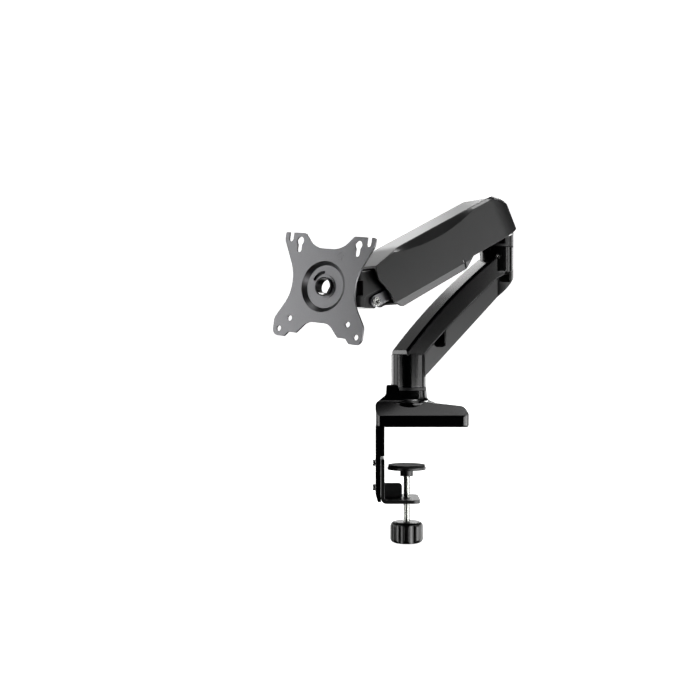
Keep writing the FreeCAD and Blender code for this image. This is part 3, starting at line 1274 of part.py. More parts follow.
def skin_outer():
    """The covers' outer form: side view, plan and cross-section taken together."""
    side = prism("skin_side", ARM, "side", [
        ("crown_start", "skin_top", "crown_round"),
        ("-(arm_boss) / 2", "skin_top - tail_fall", "tail_round"),
        ("-(skin_tail)", "-(tail_back)", "tail_round"),
        ("tail_lean - skin_tail", "-(tail_heel)", "heel_round"),
        ("tail_heel_reach - skin_tail", "-(skin_rear_bottom)", "overrun"),
        ("skin_step", "-(skin_rear_bottom)", "step_round"),
        ("skin_step + step_length", "step_slack - skin_bottom", "heel_round"),
        ("skin_front - chin_length", "-(skin_bottom)", "step_round"),
        ("skin_front - chin_rise", "-(skin_rear_bottom) - step_slack", "chin_round"),
        ("skin_front - chin_round", "-(cheek_hollow)", "cheek_round"),
        ("skin_front + nose_tip", "0", "nose_round"),
        ("skin_front", "skin_top - skin_nose_drop", "overrun"),
        ("skin_nose_start", "skin_top", "nose_bow"),
    ], "-(skin_half_width)", "skin_half_width")
    plan = fuse(
        "skin_plan",
        tail_plan("skin_tail_plan", 0),
        block("skin_body_plan", ARM, ("tail_round_start", "-(skin_half_width)", "-(skin_bottom) - past"),
              ("skin_front + past", "skin_half_width", "skin_top + past")),
    )
    section = prism("skin_section", ARM, "front", mirrored_bar([
        ("skin_half_width - skin_bevel", "skin_top"),
        ("skin_half_width", "skin_top - skin_bevel"),
        ("skin_half_width", "-(skin_bottom) + lower_bevel_height"),
        ("skin_half_width - lower_bevel", "-(skin_bottom)"),
    ]), "-(skin_tail) - past", "skin_front + past")
    return common("skin_form", side, plan, section, tail_dome("skin_dome", 0, 0))


def tail_plan(name, inset):
    """An upright half-oval prism for the covers' tail."""
    oval = add("Part::Ellipse", f"{name}_oval")
    bind(oval, MajorRadius=f"tail_round_start + skin_tail - {inset}",
         MinorRadius=f"skin_half_width - {inset}")
    bind(oval, Placement=f"{ARM} * {shift('tail_round_start', 0, '-(skin_bottom) - past')}")
    body = add("Part::Extrusion", name)
    body.Base = oval
    body.DirMode = "Custom"
    body.Solid = True
    doc.recompute()
    body.Dir = oval.Placement.Rotation.multVec(Vector(0, 0, 1))
    return bind(body, LengthFwd="skin_bottom + skin_top + 2 * past")


def tail_dome(name, inset, slimming):
    """A dome that rounds the covers' tail above a line under the pins, with all that is below it."""
    dome = spun(f"{name}_turned", f"{ARM} * {shift(0, 0, '-(dome_axis)')}", [
        (f"{inset} - skin_tail", 0),
        (f"{inset} - skin_tail", f"dome_tip - {slimming}"),
        ("-(dome_back)", f"dome_back_radius - {slimming}", "crown_round"),
        ("dome_top", f"dome_top_radius - {inset}", "crown_round"),
        ("dome_end", f"dome_end_radius - {inset}"),
        ("skin_front + past", "2 * skin_bottom"),
        ("skin_front + past", 0),
    ])
    below = block(f"{name}_below", ARM, ("-(skin_tail) - past", "-(skin_half_width) - past",
                                         "-(skin_bottom) - past"),
                  ("skin_front + past", "skin_half_width + past", "-(dome_axis)"))
    return fuse(name, dome, below)


def skin_inner():
    """The room inside the covers, open at the front and under the rear half."""
    side = prism("room_side", ARM, "side", [
        ("crown_start", "skin_top - cover_wall", "crown_round - cover_wall"),
        ("(cover_wall - arm_boss) / 2", "skin_top - tail_fall - cover_wall", "tail_round - cover_wall"),
        ("cover_wall - skin_tail", "-(tail_back)", "tail_round - cover_wall"),
        ("cover_wall - skin_tail + tail_lean", "-(tail_heel)", "heel_round - overrun"),
        ("cover_wall - skin_tail + tail_heel_reach", "-(skin_rear_bottom)"),
        ("cover_wall - skin_tail + tail_heel_reach", "-(skin_bottom) - past"),
        ("skin_step", "-(skin_bottom) - past"),
        ("skin_step + cover_wall", "-(skin_rear_bottom)"),
        ("skin_step + step_length + cover_wall", "cover_wall - skin_bottom + step_slack"),
        ("skin_front + past", "cover_wall - skin_bottom"),
        ("skin_front + past", "skin_top - skin_nose_drop - cover_wall - nose_slack"),
        ("skin_nose_start", "skin_top - cover_wall"),
    ], "-(skin_half_width)", "skin_half_width")
    inner = "skin_half_width - cover_wall"
    plan = fuse(
        "room_plan",
        tail_plan("room_tail_plan", "cover_wall"),
        block("room_body_plan", ARM, ("tail_round_start", f"-({inner})", "-(skin_bottom) - past"),
              ("skin_front + past", inner, "skin_top + past")),
    )
    section = prism("room_section", ARM, "front", mirrored_bar([
        (f"{inner} - skin_bevel", "skin_top"),
        (f"{inner} - skin_bevel", "skin_top - cover_wall"),
        (inner, "skin_top - facet_depth - facet_margin"),
        (inner, "-(skin_bottom) + lower_bevel_height"),
        (f"{inner} - lower_bevel", "-(skin_bottom) + cover_wall"),
        (f"{inner} - lower_bevel", "-(skin_bottom) - past"),
    ]), "-(skin_tail) - past", "skin_front + past")
    return common("room", side, plan, section, tail_dome("room_dome", "cover_wall", "dome_wall"))


def side_facet(side):
    """The wedge cut off one top edge, deepest in the middle, that leaves a long lens-shaped facet."""
    sign = "" if side == "left" else "-1 * "
    middle = "(facet_start + facet_end) / 2"
    stations = [("facet_start - facet_runout", "skin_bevel"), (middle, "facet_depth"),
                ("facet_end + facet_runout", "skin_bevel")]
    sections = []
    for index, (place, depth) in enumerate(stations):
        corners = [
            (f"{sign}(skin_half_width - skin_bevel)", "skin_top"),
            (f"{sign}skin_half_width", f"skin_top - {depth}"),
            (f"{sign}(skin_half_width + facet_margin)", f"skin_top - {depth}"),
            (f"{sign}(skin_half_width + facet_margin)", "skin_top + facet_margin"),
            (f"{sign}(skin_half_width - skin_bevel)", "skin_top + facet_margin"),
        ]
        sections.append(drawing(f"facet_{side}_{index}", ARM, "front", corners, place, place))
    wedge = add("Part::Loft", f"facet_{side}")
    wedge.Sections = sections
    wedge.Solid = True
    wedge.Ruled = False
    return wedge


def covers():
    """The upper arm's four covers, cut from one hollow form."""
    form = cut("skin_faceted", skin_outer(), side_facet("left"), side_facet("right"))
    openings = [
        block("tail_slot_cut", ARM, ("-(skin_tail) - past", "-(tail_slot)", "-(skin_bottom) - past"),
              ("arm_boss / 2", "tail_slot", "tail_slot_top")),
        block("link_slot_cut", ARM, ("-(skin_tail) - past", "-(link_slot)", "-(skin_bottom) - past"),
              ("arm_boss / 2", "link_slot", "-(link_slot_top)")),
        block("link_gate_cut", ARM, ("skin_step - past", "-(link_gate)", "-(skin_bottom) - past"),
              ("skin_step + link_gate_length", "link_gate", "link_gate_rise - skin_rear_bottom")),
        block("nose_gate_cut", ARM, ("nose_gate", "-(floor_half_width)", "-(skin_bottom) - past"),
              ("skin_front + past", "floor_half_width", "floor_seam - skin_bottom")),
    ]
    skin = cut("skin", form, skin_inner(), *openings)
    lid_room = prism("lid_room", ARM, "side", [
        ("lid_tail", "skin_top - lid_seam - lid_tail_drop"),
        ("lid_tail + lid_tail_run", "skin_top - lid_seam"),
        ("skin_nose_start", "skin_top - lid_seam"),
        ("skin_front + past", "skin_top - lid_seam - skin_nose_drop"),
        ("skin_front + past", "skin_top + past"),
        ("lid_tail", "skin_top + past"),
    ], "-(lid_half_width)", "lid_half_width")
    floor_room = block("floor_room", ARM,
                       ("skin_step + past", "-(floor_half_width)", "-(skin_bottom) - past"),
                       ("skin_front + past", "floor_half_width", "floor_seam - skin_bottom"))
    lid = common("upper_arm_top_cover", skin, lid_room)
    floor = common("upper_arm_bottom_cover", skin, floor_room)
    sides = []
    for side, low, high in (("left", 0, "skin_half_width + past"),
                            ("right", "-(skin_half_width) - past", 0)):
        name = f"upper_arm_side_cover_{side}"
        half = block(f"{name}_half", ARM, ("-(skin_tail) - past", low, "-(skin_bottom) - past"),
                     ("skin_front + past", high, "skin_top + past"))
        wall = cut(f"{name}_wall", common(f"{name}_skin", skin, half), lid_room, floor_room)
        inner = "cheek_front + cheek_thickness"
        outer = "skin_half_width - cover_wall + weld_lap"
        span = (inner, outer) if side == "left" else (f"-({outer})", f"-({inner})")
        bosses = [
            rod(f"{name}_boss_{index}", ARM, "y", (place, 0), *span, "cover_boss")
            for index, place in enumerate(("cheek_bend_end + rear_boss_reach",
                                           "channel_web_end - front_boss_setback"))
        ]
        reach = ("floor_half_width + overrun", "skin_half_width + overrun")
        reach = reach if side == "left" else (f"-({reach[1]})", f"-({reach[0]})")
        vent = block(f"{name}_vent", ARM, ("vent_place", reach[0], "vent_rise - skin_bottom"),
                     ("vent_place + vent_width", reach[1], "vent_rise + vent_height - skin_bottom"))
        sides.append(cut(name, fuse(f"{name}_body", wall, *bosses), vent))
    return lid, floor, sides[0], sides[1]


# ---- front knuckle ----

SWIVEL = ("head_reach", 0)
LINK_FRONT = ("link_pin_ahead", "-(link_pin_below)")


def front_knuckle():
    """Block on the front pins that ends in a fork for the head's swivel pin."""
    side = prism("knuckle_side", FRONT, "side", [
        ("-(arm_boss)", "-(arm_boss)"),
        ("-(arm_boss)", 0),
        ("arm_boss / 2", "arm_boss * 0.85"),
        ("knuckle_front - 8", "knuckle_top"),
        ("knuckle_front", "knuckle_top"),
        ("knuckle_front + 4", "-(knuckle_bottom)"),
        ("link_pin_ahead", "-(link_pin_below) - link_boss"),
        ("link_pin_ahead - link_boss", "-(link_pin_below)"),
    ], "-(knuckle_half_width)", "knuckle_half_width")
    plan = prism("knuckle_plan", FRONT, "plan", [
        ("-(arm_boss) - 1", "-(knuckle_half_width)"),
        ("knuckle_front + 2", "-(knuckle_half_width)", "knuckle_corner"),
        ("knuckle_front + 2", "knuckle_half_width", "knuckle_corner"),
        ("-(arm_boss) - 1", "knuckle_half_width"),
    ], "-(knuckle_bottom) - 5", "arm_boss + 1")
    body = common("knuckle_body", side, plan)
    boss = rod("knuckle_boss", FRONT, "y", (0, 0), "-(knuckle_half_width)", "knuckle_half_width",
               "arm_boss")
    lugs = rod("knuckle_lugs", FRONT, "z", SWIVEL, "-(knuckle_bottom)", "knuckle_top", "barrel_radius")
    bridge = block("knuckle_bridge", FRONT, ("knuckle_front - 8", "-(barrel_radius)", "-(knuckle_bottom)"),
                   ("head_reach", "barrel_radius", "knuckle_top"))
    gap = block("fork_gap", FRONT, ("head_reach - barrel_radius - 0.4", "-(knuckle_half_width) - 1",
                                    "-(fork_gap_bottom)"),
                ("head_reach + barrel_radius + 1", "knuckle_half_width + 1", "-(fork_gap_top)"))
    recesses = []
    for side_name, low, high in (
        ("left", "knuckle_half_width - knuckle_recess", "knuckle_half_width + 1"),
        ("right", "-(knuckle_half_width) - 1", "knuckle_recess - knuckle_half_width"),
    ):
        recesses.append(prism(f"link_recess_{side_name}", FRONT, "side", [
            ("-(arm_boss) - 20", "-(arm_boss) + 2"),
            ("-(arm_boss)", "-(arm_boss) - 3"),
            ("recess_front", "-(arm_boss) - 16", 6),
            ("recess_front", "-(knuckle_bottom) - 9"),
            ("-(arm_boss) - 20", "-(knuckle_bottom) - 9"),
        ], low, high))
    holes = [
        rod("knuckle_arm_hole", FRONT, "y", (0, 0), "-(knuckle_half_width)", "knuckle_half_width",
            "arm_pin_radius + running_gap"),
        rod("knuckle_link_hole", FRONT, "y", LINK_FRONT, "-(knuckle_half_width)", "knuckle_half_width",
            "link_pin_radius"),
        rod("knuckle_swivel_hole", FRONT, "z", SWIVEL, "-(knuckle_bottom) - 1", "knuckle_top + 1",
            "swivel_pin_radius"),
    ]
    return cut("front_knuckle", fuse("knuckle_mass", body, boss, lugs, bridge), gap, *recesses, *holes)


def front_link_pins():
    return shoulder_screws("front_link_pins", FRONT, LINK_FRONT, "yoke_web",
                           "link_front + link_thickness + fit_gap",
                           "link_pin_radius", "link_head_radius", "link_head_thickness")


def swivel_pin():
    shank = rod("swivel_shank", FRONT, "z", SWIVEL, "-(knuckle_bottom) - 1.5", "knuckle_top",
                "swivel_pin_radius")
    head = rod("swivel_head", FRONT, "z", SWIVEL, "knuckle_top", "knuckle_top + swivel_head_thickness",
               "swivel_head_radius")
    return fuse("swivel_pin", shank, head)


def swivel_washers():
    return group(
        "swivel_washers",
        tube("swivel_washer_low", FRONT, "z", SWIVEL, "-(fork_gap_bottom)",
             "thrust_washer - fork_gap_bottom",
             "swivel_pin_radius", "barrel_radius - 0.5"),
        tube("swivel_washer_high", FRONT, "z", SWIVEL, "-(fork_gap_top) - thrust_washer", "-(fork_gap_top)",
             "swivel_pin_radius", "barrel_radius - 0.5"),
    )


# ---- head ----

def swivel_block():
    """Barrel between the fork's lugs with a neck down to the tilt boss."""
    low = "thrust_washer + 0.1 - fork_gap_bottom"
    high = "-(fork_gap_top) - thrust_washer - 0.1"
    barrel = rod("head_barrel", HEAD, "z", (0, 0), low, high, "barrel_radius")
    neck = prism("head_neck", HEAD, "side", [
        (4, low),
        ("tilt_reach - tilt_boss + 0.2", low),
        ("tilt_reach - tilt_boss + 0.2", "-(tilt_drop)"),
        ("tilt_reach + tilt_boss", "-(tilt_drop)"),
        ("tilt_reach + tilt_boss", "-(tilt_drop) + 6", 4),
        ("barrel_radius + 4", high, 6),
        (4, high),
    ], "-(neck_half_width)", "neck_half_width")
    boss = rod("head_tilt_boss", HEAD, "y", ("tilt_reach", "-(tilt_drop)"), "-(neck_half_width)",
               "neck_half_width",
               "tilt_boss")
    holes = [
        rod("head_swivel_hole", HEAD, "z", (0, 0), low, high, "swivel_pin_radius + running_gap"),
        rod("head_tilt_hole", HEAD, "y", ("tilt_reach", "-(tilt_drop)"), "-(neck_half_width)",
            "neck_half_width",
            "tilt_bolt_radius + running_gap"),
    ]
    return cut("swivel_block", fuse("head_mass", barrel, neck, boss), *holes)


CHEEK_IN = "neck_half_width + tilt_washer"
CHEEK_OUT = "neck_half_width + tilt_washer + tilt_cheek"
DISH_BACK = "plate_face - dish_depth - plate_thickness"
BRACKET_FACE = f"{DISH_BACK} - hub_washer"
BRACKET_BACK = f"{BRACKET_FACE} - tilt_plate"


def tilt_bracket():
    """Round base plate with two cheeks that clasp the tilt boss."""
    base = rod("tilt_base", TILT, "x", (0, "hub_height"), BRACKET_BACK, BRACKET_FACE, "tilt_plate_radius")
    profile = [
        (0, "-(tilt_boss)"),
        (BRACKET_BACK, "-(tilt_boss) + 4"),
        (f"{BRACKET_BACK} + 1", "-(tilt_boss) + 4"),
        (f"{BRACKET_BACK} + 1", "tilt_boss + 1"),
        (0, "tilt_boss"),
    ]
    cheeks = []
    for side, low, high in (("left", CHEEK_IN, CHEEK_OUT), ("right", f"-({CHEEK_OUT})", f"-({CHEEK_IN})")):
        cheeks.append(prism(f"tilt_cheek_{side}", TILT, "side", profile, low, high))
        cheeks.append(rod(f"tilt_cheek_end_{side}", TILT, "y", (0, 0), low, high, "tilt_boss"))
    hub = rod("tilt_hub_hole", TILT, "x", (0, "hub_height"), f"{BRACKET_BACK} - 9", "plate_face",
              "hub_radius")
    bolt = rod("tilt_bolt_hole", TILT, "y", (0, 0), f"-({CHEEK_OUT})", CHEEK_OUT, "tilt_bolt_radius")
    return cut("tilt_bracket", fuse("tilt_mass", base, *cheeks), hub, bolt)


def tilt_washers():
    return group(
        "tilt_washers",
        tube("tilt_washer_left", TILT, "y", (0, 0), "neck_half_width + 0.05", CHEEK_IN, "tilt_bolt_radius",
             "tilt_boss - 0.5"),
        tube("tilt_washer_right", TILT, "y", (0, 0), f"-({CHEEK_IN})", "-(neck_half_width) - 0.05",
             "tilt_bolt_radius", "tilt_boss - 0.5"),
    )


def tilt_bolt():
    shank = rod("tilt_shank", TILT, "y", (0, 0), f"-({CHEEK_OUT}) - tilt_nut_thickness - 1", CHEEK_OUT,
                "tilt_bolt_radius")
    head = rod("tilt_head", TILT, "y", (0, 0), CHEEK_OUT, f"{CHEEK_OUT} + tilt_head_thickness",
               "tilt_head_radius")
    key = hexagon("tilt_key", TILT, "y", (0, 0), f"{CHEEK_OUT} + tilt_key_floor", "tilt_head_thickness",
                  "tilt_key")
    return cut("tilt_bolt", fuse("tilt_bolt_solid", shank, head), key)


def tilt_nut():
    body = hexagon("tilt_nut_body", TILT, "y", (0, 0), f"-({CHEEK_OUT}) - tilt_nut_thickness",
                   "tilt_nut_thickness", "tilt_nut_flats / sqrt(3)")
    hole = rod("tilt_nut_hole", TILT, "y", (0, 0), f"-({CHEEK_OUT}) - tilt_nut_thickness",
               f"-({CHEEK_OUT})",
               "tilt_bolt_radius")
    return cut("tilt_nut", body, hole)


def hub_sleeve():
    return tube("hub_sleeve", TILT, "x", (0, "hub_height"), BRACKET_BACK, "plate_face", "hub_bore",
                "hub_radius")


def hub_friction_washer():
    return tube("hub_friction_washer", TILT, "x", (0, "hub_height"), BRACKET_FACE, f"{DISH_BACK} - 0.05",
                "hub_radius", "tilt_plate_radius")


def hub_retaining_ring():
    front = f"{DISH_BACK} + plate_thickness + 0.05"
    return tube("hub_retaining_ring", TILT, "x", (0, "hub_height"), front, f"{front} + hub_ring_thickness",
                "hub_radius", "hub_ring_radius")


# ---- monitor plate ----

def plate_half():
    """Right half of the plate's outline from the top hollow to the bottom cove."""
    return [
        ("crown_half_width * 0.55", "crown_depth + 5", 26),
        ("crown_half_width", "plate_top", 2),
        ("plate_ear_side", "plate_top", 2),
        ("plate_ear_side", "hook_floor + 1", 8),
        ("plate_waist", "crown_depth / 2 - 5", "waist_rounding"),
        ("plate_waist", "-(crown_depth) / 3", "waist_rounding"),
        ("plate_ear_side", "-(hook_floor) + 7", 8),
        ("plate_ear_side", "-(plate_toe)", "ear_corner"),
        ("hole_pitch_large / 2 - 8", "-(plate_toe)", 2),
        ("hole_pitch_large / 2 - 13", "-(plate_step)", 2),
        ("cove_half_width", "-(plate_step)", 3),
        ("cove_half_width - 13", "-(cove_height)", 14),
    ]


def round_hole(name, y, z, radius):
    return rod(name, PLATE, "x", (y, z), "-(plate_thickness) - 1", 1, radius)


def plate_fixings():
    """Round holes below, keyholes and open hook slots above, on both hole squares."""
    tools = []
    for side, sign in (("left", "-1"), ("right", "1")):
        small = f"{sign} * hole_pitch_small / 2"
        large = f"{sign} * hole_pitch_large / 2"
        tools.append(round_hole(f"small_hole_{side}", small, "-(hole_pitch_small) / 2", "hole_radius"))
        tools.append(round_hole(f"large_hole_{side}", large, "-(hole_pitch_large) / 2", "hole_radius"))
        wide = f"hole_pitch_small / 2 + keyhole_length"
        tools.append(round_hole(f"keyhole_{side}_wide", small, wide, "keyhole_radius"))
        tools.append(round_hole(f"keyhole_{side}_end", small, "hole_pitch_small / 2", "keyhole_neck"))
        tools.append(block(f"keyhole_{side}_neck", PLATE,
                           ("-(plate_thickness) - 1", f"{small} - keyhole_neck", "hole_pitch_small / 2"),
                           (1, f"{small} + keyhole_neck", wide)))
        half = "hook_slot / 2"
        floor = f"hook_floor + {half}"
        tools.append(round_hole(f"hook_{side}_floor", large, floor, half))
        tools.append(block(f"hook_{side}_slot", PLATE, ("-(plate_thickness) - 1", f"{large} - {half}",
                                                        floor),
                           (1, f"{large} + {half}", "plate_top + 1")))
    return tools


def vesa_plate():
    """Pressed plate with ears for both hole squares and a dished middle that turns on the hub."""
    sheet_part = prism("plate_sheet", PLATE, "front", mirrored_bar(plate_half()), "-(plate_thickness)", 0)
    outside = spun("dish_outside", PLATE, [
        ("-(plate_thickness) / 2", 0),
        ("-(plate_thickness) / 2", "dish_radius + dish_lean"),
        ("-(plate_thickness)", "dish_radius + dish_lean"),
        ("-(dish_depth) - plate_thickness", "dish_floor_radius + dish_lean"),
        ("-(dish_depth) - plate_thickness", 0),
    ])
    inside = spun("dish_inside", PLATE, [
        (1, 0),
        (1, "dish_radius"),
        (0, "dish_radius"),
        ("-(dish_depth)", "dish_floor_radius"),
        ("-(dish_depth)", 0),
    ])
    hub = rod("plate_hub_hole", PLATE, "x", (0, 0), "-(dish_depth) - plate_thickness - 1", 1,
              "hub_radius + running_gap")
    pressed = fuse("plate_pressed", sheet_part, outside)
    return cut("vesa_plate", pressed, inside, hub, stop_slot(), *plate_fixings())


def stop_slot():
    """Curved slot in the dish for the locking screw."""
    low, high = "-(dish_depth) - plate_thickness - 1", "-(dish_depth) + 1"
    sectors = []
    for edge, sign in (("outer", "+"), ("inner", "-")):
        sector = rod(f"stop_slot_{edge}", PLATE, "x", (0, 0), low, high,
                     f"stop_slot_radius {sign} stop_slot_width / 2")
        place = f"{PLATE} * {shift(low, 0, 0)} * {turn(1, 1, 1, 120)} * {turn(0, 0, 1, 'stop_slot_from')}"
        bind(sector, Placement=place)
        if edge == "outer":
            bind(sector, Angle="stop_slot_span")
        sectors.append(sector)
    ends = []
    for index, angle in enumerate(("stop_slot_from", "(stop_slot_from + stop_slot_span)")):
        spot = (f"stop_slot_radius * cos({angle})", f"stop_slot_radius * sin({angle})")
        ends.append(rod(f"stop_slot_end_{index}", PLATE, "x", spot, low, high, "stop_slot_width / 2"))
    return fuse("stop_slot", cut("stop_slot_arc", *sectors), *ends)


# ---- assembly ----

for make in (
    base_casting, base_pad, lower_bracket, bracket_screws, pole_post, base_washer,
    pressure_pad, pressure_plate, clamp_screw, clamp_knob,
    lower_arm_shell, lower_arm_cable_cover, lower_arm_bush, upper_arm_bush, swivel_stop_screw,
    yoke_shaft, yoke_washer, rear_yoke, spring_yoke_pin, rear_link_pins,
    upper_arm_channel, rear_arm_pin, rear_arm_spacers, front_arm_pin, front_arm_spacers,
    tension_block, tension_screw, spring_arm_pin, gas_spring_cylinder, gas_spring_rod,
    front_knuckle, front_link_pins, swivel_pin, swivel_washers,
    swivel_block, tilt_bracket, tilt_washers, tilt_bolt, tilt_nut,
    hub_sleeve, hub_friction_washer, hub_retaining_ring, vesa_plate,
):
    done(make.__name__, make())
for side in ("left", "right"):
    done(f"lower_link_{side}", lower_link(side))
lid, floor, left, right = covers()
done("upper_arm_top_cover", lid)
done("upper_arm_bottom_cover", floor)
done("upper_arm_side_cover_left", left)
done("upper_arm_side_cover_right", right)

doc.recompute()
for item in doc.Objects:
    if "Invalid" in item.State or "Error" in item.State:
        raise RuntimeError(f"{item.Name} did not build: {item.State}")
for name, item in nodes.items():
    if item.Shape.isNull() or not item.Shape.isValid():
        raise RuntimeError(f"{name} has a bad shape")

os.makedirs("parts", exist_ok=True)
for name, item in nodes.items():
    item.Shape.exportStep(f"parts/{name}.step")
    print(name, len(item.Shape.Solids), round(item.Shape.Volume))
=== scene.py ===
# %% [markdown]
# # A desk-clamped monitor arm, dressed for its portrait
# The arm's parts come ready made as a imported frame: every casting, cover, pin and screw is already
# in its place, and knows which moving body it rides on. What is left to do is what a finisher does:
# paint, grain and plating, two pieces too fine for the frame, then light and a camera.
# All lengths are metres, and the frame has +Z up with its origin on the desk top.

# %% Load the frame
import json
import math
import bpy
import bmesh
from mathutils import Matrix, Vector


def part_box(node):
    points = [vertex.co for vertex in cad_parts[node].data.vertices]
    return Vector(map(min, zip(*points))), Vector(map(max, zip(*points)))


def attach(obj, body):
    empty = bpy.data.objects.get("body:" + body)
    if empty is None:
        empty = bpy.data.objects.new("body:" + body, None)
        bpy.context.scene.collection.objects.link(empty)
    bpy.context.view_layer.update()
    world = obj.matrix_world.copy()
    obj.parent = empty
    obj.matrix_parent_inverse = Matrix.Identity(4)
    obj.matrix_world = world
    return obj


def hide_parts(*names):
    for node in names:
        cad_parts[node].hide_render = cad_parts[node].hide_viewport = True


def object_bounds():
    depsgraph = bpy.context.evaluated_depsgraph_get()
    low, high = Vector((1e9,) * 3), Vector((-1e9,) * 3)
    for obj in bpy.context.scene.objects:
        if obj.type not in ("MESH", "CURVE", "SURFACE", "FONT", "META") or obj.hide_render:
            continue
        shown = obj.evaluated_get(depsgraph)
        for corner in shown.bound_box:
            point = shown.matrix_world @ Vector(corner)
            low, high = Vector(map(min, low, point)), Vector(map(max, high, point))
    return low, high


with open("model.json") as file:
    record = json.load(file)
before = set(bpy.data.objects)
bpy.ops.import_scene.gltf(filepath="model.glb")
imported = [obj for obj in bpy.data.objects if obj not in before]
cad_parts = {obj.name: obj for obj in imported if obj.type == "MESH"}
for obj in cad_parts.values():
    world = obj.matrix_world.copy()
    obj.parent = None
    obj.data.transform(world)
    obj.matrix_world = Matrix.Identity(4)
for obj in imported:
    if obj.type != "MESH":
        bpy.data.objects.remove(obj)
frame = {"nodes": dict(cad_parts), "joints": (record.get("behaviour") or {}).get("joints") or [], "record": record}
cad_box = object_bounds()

MM = 0.001

# %% [markdown]
# ## Colours
# A paint card gives a colour as an sRGB hex value, but a shader mixes light, so it wants the same
# colour as linear numbers. One function does that turn for every finish below.

# %% Turn a hex colour to linear
def linear(hex_colour):
    """An sRGB hex colour as linear red, green and blue, with full alpha."""
    channels = [int(hex_colour[place:place + 2], 16) / 255 for place in (1, 3, 5)]
    return [c / 12.92 if c <= 0.04045 else ((c + 0.055) / 1.055) ** 2.4 for c in channels] + [1.0]


print("charcoal is", [round(c, 4) for c in linear("#1F1F20")])

# %% [markdown]
# ## Building a finish
# A finish is a short chain of nodes. Rather than place each one by hand, one small helper adds a
# node, sets its sockets and properties by name, and wires up any socket that is given another
# node's output. Plain numbers and colours stay on the shader's own sockets.

# %% Add a node with its settings and links
def add_node(tree, kind, inputs=None, **properties):
    """A node of that kind; an input may be a value or another node's output socket."""
    node = tree.nodes.new(kind)
    for name, setting in properties.items():
        setattr(node, name, setting)
    for name, setting in (inputs or {}).items():
        if isinstance(setting, bpy.types.NodeSocket):
            tree.links.new(setting, node.inputs[name])
        else:
            node.inputs[name].default_value = setting
    return node


def new_finish(name, **shader):
    """A material with one principled shader; its sockets are given by name, with _ for a space."""
    finish = bpy.data.materials.new(name)
    finish.use_nodes = True
    tree = finish.node_tree
    tree.nodes.clear()
    sockets = {key.replace("_", " "): setting for key, setting in shader.items()}
    surface = add_node(tree, "ShaderNodeBsdfPrincipled", sockets, name="surface")
    add_node(tree, "ShaderNodeOutputMaterial", {"Surface": surface.outputs["BSDF"]})
    return finish


print("helpers ready")

# %% [markdown]
# ## Grain and softened edges
# No painted or moulded surface is mirror flat: enamel has a faint orange peel, powder coat is a
# little pebbled and moulded plastic copies the spark-eroded wall of its mould. Each of these is a
# noise of a real size in millimetres that tilts the surface a little through a bump. No edge is
# knife sharp either: paint flows round it and a mould has a small radius there, and that radius
# is what catches a thin line of light. The bevel node bends the shading over the edge.

# %% Roughen a surface and soften its edges
BEVEL_SAMPLES = 6


def add_grain(finish, size_mm, height_mm, edge_mm):
    """Bumps about size_mm across and height_mm high, on edges rounded by edge_mm; gives the noise."""
    tree = finish.node_tree
    place = add_node(tree, "ShaderNodeTexCoord")
    edge = add_node(tree, "ShaderNodeBevel", {"Radius": edge_mm * MM}, samples=BEVEL_SAMPLES)
    noise = add_node(tree, "ShaderNodeTexNoise", {
        "Vector": place.outputs["Object"],
        "Scale": 1 / (size_mm * MM),
    })
    bump = add_node(tree, "ShaderNodeBump", {
        "Height": noise.outputs["Fac"],
        "Distance": height_mm * MM,
        "Strength": 1.0,
        "Normal": edge.outputs["Normal"],
    })
    tree.links.new(bump.outputs["Normal"], tree.nodes["surface"].inputs["Normal"])
    return noise


print("grain sizes are real millimetres")

# %% [markdown]
# ## Gloss black enamel
# The foot and the lower arm are die-cast aluminium under a thick black enamel. It is a dielectric,
# so its colour is nearly black and what the eye sees is the room in it: bright bands where a lamp
# is mirrored and deep black elsewhere. A low roughness and a very faint orange peel give that.

# %% Gloss black enamel on die-cast aluminium
black_enamel = new_finish(
    "gloss_black_enamel", Base_Color=linear("#060607"), Roughness=0.17, IOR=1.5)
add_grain(black_enamel, size_mm=6, height_mm=0.01, edge_mm=1.2)
print(black_enamel.name)

# %% [markdown]
# ## Black powder coat
# The clamp's bent steel and the channel inside the upper arm are powder coated. The powder melts
# into a skin with a fine pebble, so highlights spread out. The pebbles are about 0.3 mm on the
# real thing and are drawn at 0.8 mm so that they show.

# %% Black powder coat on steel
powder_coat = new_finish(
    "black_powder_coat", Base_Color=linear("#0E0E0F"), Roughness=0.4, IOR=1.5)
add_grain(powder_coat, size_mm=0.8, height_mm=0.03, edge_mm=0.7)
print(powder_coat.name)

# %% [markdown]
# ## Moulded charcoal ABS
# The big covers are ABS from a mould whose walls were spark eroded, which leaves an even matt grain
# that hides fingerprints. The grain is about 0.1 mm and is drawn at 0.5 mm.

# %% Grained charcoal ABS
charcoal_abs = new_finish(
    "grained_charcoal_abs", Base_Color=linear("#1B1B1C"), Roughness=0.36, IOR=1.53)
add_grain(charcoal_abs, size_mm=0.5, height_mm=0.015, edge_mm=0.9)
print(charcoal_abs.name)

# %% [markdown]
# ## Satin charcoal ABS
# The lid along the top of the upper arm is the same ABS from a smoother mould, so light that comes
# from behind runs along it in one soft sheen.

# %% Satin charcoal ABS
satin_abs = new_finish(
    "satin_charcoal_abs", Base_Color=linear("#202021"), Roughness=0.33, IOR=1.53)
add_grain(satin_abs, size_mm=0.8, height_mm=0.008, edge_mm=0.9)
print(satin_abs.name)

# %% [markdown]
# ## Black ABS
# The tray under the upper arm and the clamp's knob are black ABS, nearly smooth.

# %% Black ABS
black_abs = new_finish(
    "black_abs", Base_Color=linear("#090909"), Roughness=0.35, IOR=1.53)
add_grain(black_abs, size_mm=1.0, height_mm=0.01, edge_mm=0.7)
print(black_abs.name)

